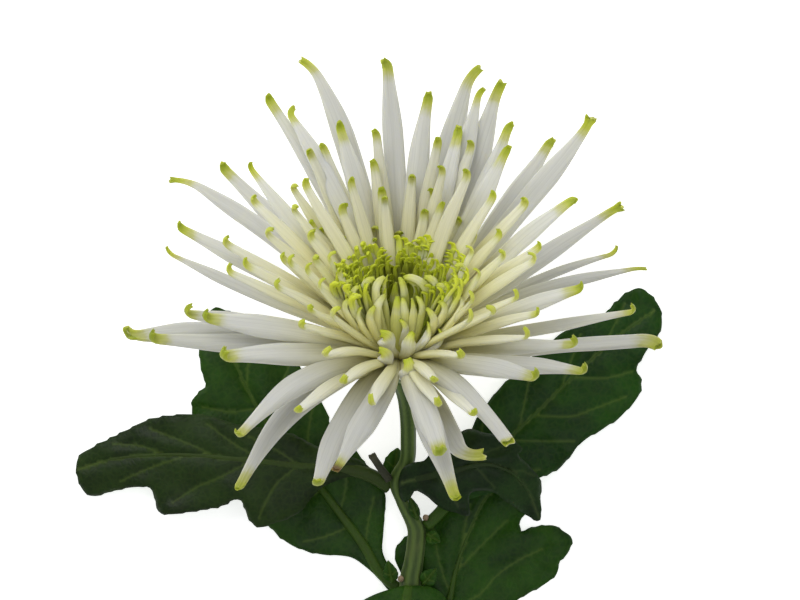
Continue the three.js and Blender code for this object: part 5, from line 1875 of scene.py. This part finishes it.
@dataclass
class Stem:
    """The ribbed stalk with its swollen nodes, its cut end, buds and the stub of a cut side shoot.

    Its places are measured from the floor under the bloom's centre.
    """

    ground: Array
    sides: int = 54
    ribs: float = 6.0
    rib_depth: float = 0.05
    # Centre line from under the bloom to the cut end, with the radius at each place.
    path: Table = (
        (0, -8.1, 26.3, 2.9), (1.2, -12.6, 21.4, 2.1), (2.0, -18.5, 16.4, 2.0), (2.2, -25, 12.4, 2.0),
        (1.9, -30.5, 9.6, 2.0), (-0.6, -35.8, 7.6, 2.2), (0.6, -41, 6.3, 1.7), (4.3, -48.5, 5.0, 2.3),
        (4.2, -53, 4.5, 2.4), (3.5, -58, 4.1, 2.5), (2.7, -63, 3.8, 2.8), (3.4, -72, 3.4, 2.4),
        (5.3, -84, 3.1, 2.7), (4.2, -98, 2.8, 2.5), (1.4, -116, 2.7, 2.65), (0.6, -134, 2.6, 2.5),
        (-1.5, -163.8, 2.6, 2.55))
    bud_radius: float = 0.9
    bud_scales: int = 4
    bud_seed: int = 60
    shoot: Table = ((-2.9, -35.6, 9.6), (-5.4, -32.2, 11.2), (-7.4, -29.2, 12.2))
    shoot_radius: float = 1.1

    def tree(self, values: dict[str, object]) -> NodeTree:
        """Builds the tree that sweeps a ribbed section along the stalk's curve.

        Args:
            values: The tree's inputs.

        Returns:
            The geometry tree.
        """
        tree, add, given = new_tree("ribbed_stalk", values)
        ring = add("GeometryNodeCurvePrimitiveCircle", {"Resolution": self.sides})
        place = add("GeometryNodeInputPosition")
        parts = add("ShaderNodeSeparateXYZ", {0: place})
        angle = add("ShaderNodeMath", {0: parts.outputs[1], 1: parts.outputs[0]}, operation="ARCTAN2")
        turns = add("ShaderNodeMath", {0: angle, 1: given["Ribs"]}, operation="MULTIPLY")
        wave = add("ShaderNodeMath", {0: turns}, operation="COSINE")
        height = add("ShaderNodeMath", {0: wave, 1: 0.5, 2: 0.5}, operation="MULTIPLY_ADD")
        named = add("GeometryNodeStoreNamedAttribute", {"Geometry": ring, "Name": "rib", "Value": height})
        depth = add("ShaderNodeMath", {0: wave, 1: given["Rib Depth"], 2: 1.0}, operation="MULTIPLY_ADD")
        scaled = add("ShaderNodeVectorMath", {0: place, "Scale": depth}, operation="SCALE")
        section = add("GeometryNodeSetPosition", {"Geometry": named, "Position": scaled})
        radius = add("GeometryNodeInputRadius")
        sweep = add("GeometryNodeCurveToMesh", {"Curve": given["Geometry"], "Profile Curve": section,
                    "Scale": radius, "Fill Caps": True})
        shaded = add("GeometryNodeSetShadeSmooth", {"Geometry": sweep})
        end_tree(add, shaded, given["Skin"])
        return tree

    def stalk(self, skin: Material) -> Object:
        """Sweeps the stalk.

        Args:
            skin: The stem's finish.

        Returns:
            The stalk's mesh object.
        """
        line = rounded(self.path, 1.2)
        data = bpy.data.curves.new("stalk_line", "CURVE")
        data.dimensions = "3D"
        spline = data.splines.new("POLY")
        spline.points.add(len(line) - 1)
        for point, (x, y, z, radius) in zip(spline.points, line):
            point.co = ((x + self.ground[0]) * MM, (y + self.ground[1]) * MM, z * MM, 1.0)
            point.radius = radius * MM
        source = bpy.data.objects.new("stalk_line", data)
        bpy.context.scene.collection.objects.link(source)
        values = {"Ribs": self.ribs, "Rib Depth": self.rib_depth, "Skin": skin}
        return run_tree(source, self.tree(values), values, "ribbed_stalk")

    def rings_along(self, line: Array, radius: Array, sides: int, ripple: float = 0.0,
                    seed: int = 0) -> Array:
        """Rings of points across a line.

        Args:
            line: The centre line.
            radius: Radius at each of its points.
            sides: Points in a ring.
            ripple: Unevenness of the rings, of the radius.
            seed: Seed of the unevenness.

        Returns:
            Rings by points by three numbers.
        """
        rng = np.random.default_rng(seed)
        ahead = unit(np.gradient(line, axis=0))
        side = unit(np.cross(ahead, [0.31, 0.12, 1.0]))
        rise = np.cross(side, ahead)
        phi = circle(sides)
        uneven = 1 + ripple * rng.uniform(-1, 1, sides)
        out = radius[:, None] * uneven
        return hoops(line, side, rise, out * np.cos(phi), out * np.sin(phi))

    def cut_end(self) -> Skin:
        """Builds the cut face at the stalk's end: a thin ring of fibres round a sunken pale pith.

        Returns:
            The skin with the layer edge.
        """
        end, before = rounded(self.path, 1.2)[[-1, -4]]
        ahead = unit(end[:3] - before[:3])
        radii = np.array([0.2, 0.97, 0.99, 0.93, 0.7, 0.55, 0.3, 0.1]) * end[3]
        places = np.array([-0.7, -0.7, 0.05, 0.16, 0.12, -0.02, -0.1, -0.12])
        line = end[:3] + self.ground + np.outer(places, ahead)
        side = unit(np.cross(ahead, [0.0, 0.0, 1.0]))
        rise = np.cross(side, ahead)
        phi = circle(self.sides)
        rings = hoops(line, side, rise, radii[:, None] * np.cos(phi), radii[:, None] * np.sin(phi))
        skin = loft(rings, (line[0], line[-1]))
        edge = np.repeat([0, 0, 0.1, 0.5, 0.7, 1.0, 1.1, 1.1], self.sides)
        skin.layers = {"edge": np.concatenate([edge, [0.0, 1.1]])}
        return skin

    def bud(self, node: str, seed: int) -> Skin:
        """Builds a resting bud of wrapped scales where its solid is.

        Args:
            node: The bud's solid.
            seed: Seed of its irregularity.

        Returns:
            The skin with the layer edge.
        """
        low, high = (np.array(corner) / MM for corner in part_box(node))
        middle = (low + high) / 2
        rng = random.Random(seed)
        scales = []
        for k in range(self.bud_scales):
            inner = k / (self.bud_scales - 1)
            turn = 2.4 * k + rng.uniform(-0.3, 0.3)
            t = np.linspace(0, 1, 12)
            length = self.bud_radius * lerp(2.3, 1.7, inner)
            way = unit(np.array([0.18 * math.cos(turn), 0.55 + 0.18 * math.sin(turn), 0.8]))
            line = middle + np.outer((t - 0.42) * length, way)
            line = line + np.array([math.cos(turn), math.sin(turn), 0.0]) * 0.16 * inner
            radius = self.bud_radius * lerp(0.9, 0.6, inner) * np.sin(np.pi * lerp(0.12, 0.985, t)) ** 0.7
            rings = self.rings_along(line, radius, 14, ripple=0.08, seed=seed + k)
            skin = loft(rings, (line[0], line[-1]))
            skin.layers = {"edge": np.concatenate([np.repeat(t ** 2, 14), [0.0, 1.0]])}
            scales.append(skin)
        return Skin.joined(scales)

    def side_shoot(self) -> Skin:
        """Builds the stub of the cut side shoot: a furrowed tube with a torn, hollowed end.

        Returns:
            The skin with the layer edge.
        """
        line = rounded(self.shoot, 0.5) + self.ground
        t = np.linspace(0, 1, len(line))
        radius = self.shoot_radius * lerp(1.0, 0.84, t) * (1 + 0.16 * smooth(0.86, 1, t))
        rings = self.rings_along(line, radius, 20, ripple=0.09, seed=8)
        ahead = unit(line[-1] - line[-2])
        rng = np.random.default_rng(9)
        rings[-1] += ahead * rng.uniform(0.0, 0.5, 20)[:, None]
        hub = rings[-1].mean(axis=0)
        lip = lerp(hub, rings[-1], 0.7) - 0.25 * ahead
        skin = loft(np.concatenate([rings, lip[None]]), (line[0], hub - 0.7 * ahead))
        edge = np.concatenate([np.repeat(0.25 + 0.7 * smooth(0.6, 1, t), 20), np.full(20, 1.0), [0.0, 0.4]])
        skin.layers = {"edge": edge}
        return skin

    def build(self) -> None:
        """Builds and dresses the stalk and everything small that sits on it."""
        skin = StemSkin().material()
        pith = PlantScrap("cut_stem_pith", dark="#5d7a3f", pale="#dfe0c4", grain_mm=0.5).material()
        scale = PlantScrap("bud_scale", dark="#6d5a3e", pale="#a08a70", grain_mm=0.5).material()
        dried = PlantScrap("dried_shoot_fibre", dark="#20240f", pale="#454631", grain_mm=0.4).material()
        dress(self.stalk(skin), "stem", "stem")
        dress(self.cut_end().to_object("cut_end_pith", pith), "stem", "stem")
        for number, node in enumerate(("bud_middle", "bud_lower")):
            bud = self.bud(node, self.bud_seed + number)
            dress(bud.to_object(node + "_scales", scale), "bud", node)
        dress(self.side_shoot().to_object("side_shoot_stub", dried), "cut_shoot", "cut_side_shoot")


# ---- studio ----

@dataclass
class Studio:
    """A pale floor, soft light from above, and a camera that looks straight down."""

    centre: Array
    view_width: float = 212.0
    view_above_centre: float = 12.0
    camera_height: float = 6000.0
    sensor: float = 36.0
    floor_side: float = 6.0
    floor_drop: float = 0.0001
    room_light: float = 0.42
    # Each light's name, its place in metres from the bloom's centre, its side in metres and its watts.
    lamps: tuple[tuple[str, Point, float, float], ...] = (
        ("key", (-0.4, 0.8, 1.0), 1.0, 8.0), ("fill", (0.2, -0.2, 1.3), 1.2, 3.0))

    def floor(self) -> None:
        """Lays the pale floor that the flower rests on."""
        made, shader, _ = new_finish("pale_floor")
        feed(shader, {"Base Color": linear("#f4f4f4"), "Roughness": 0.9, "Specular IOR Level": 0.1,
                      "Emission Color": (1, 1, 1, 1), "Emission Strength": 0.62})
        half, low = self.floor_side / 2, -self.floor_drop
        corners = [(-half, -half, low), (half, -half, low), (half, half, low), (-half, half, low)]
        mesh = bpy.data.meshes.new("floor")
        mesh.from_pydata(corners, [], [(0, 1, 2, 3)])
        mesh.materials.append(made)
        floor = bpy.data.objects.new("floor", mesh)
        bpy.context.scene.collection.objects.link(floor)

    def light(self, name: str, place: Point, size: float, power: float) -> None:
        """Hangs a soft square light that faces the bloom.

        Args:
            name: Its name.
            place: Where it hangs, in metres from the bloom's centre.
            size: Its side in metres.
            power: Its power in watts.
        """
        data = bpy.data.lights.new(name, "AREA")
        data.shape = "SQUARE"
        data.size = size
        data.energy = power
        lamp = bpy.data.objects.new(name, data)
        lamp.location = self.centre * MM + np.array(place)
        x, y, z = place
        lamp.rotation_euler = (math.atan2(math.hypot(x, y), z), 0.0, math.atan2(y, x) + math.pi / 2)
        bpy.context.scene.collection.objects.link(lamp)

    def build(self) -> None:
        """Sets up floor, light, colour and camera."""
        scene = bpy.context.scene
        self.floor()
        world = bpy.data.worlds.new("soft_room")
        world.use_nodes = True
        feed(world.node_tree.nodes["Background"], {"Color": (0.97, 0.985, 1.0, 1.0),
                                                    "Strength": self.room_light})
        scene.world = world
        for lamp in self.lamps:
            self.light(*lamp)
        scene.view_settings.view_transform = "Standard"
        data = bpy.data.cameras.new("camera")
        data.sensor_width = self.sensor
        data.lens = self.sensor * self.camera_height / self.view_width
        data.clip_end = 20.0
        camera = bpy.data.objects.new("camera", data)
        camera.location = (self.centre[0] * MM, (self.centre[1] + self.view_above_centre) * MM,
                           self.camera_height * MM)
        scene.collection.objects.link(camera)
        scene.camera = camera


def main() -> None:
    """Builds the flower on its frame, then the studio."""
    logging.basicConfig(level=logging.INFO, format="%(name)s: %(message)s")
    bloom = Bloom()
    Studio(bloom.centre).build()
    bloom.build()
    Stem(bloom.ground).build()
    Foliage(bloom.ground).build()


if __name__ == "__main__":
    main()
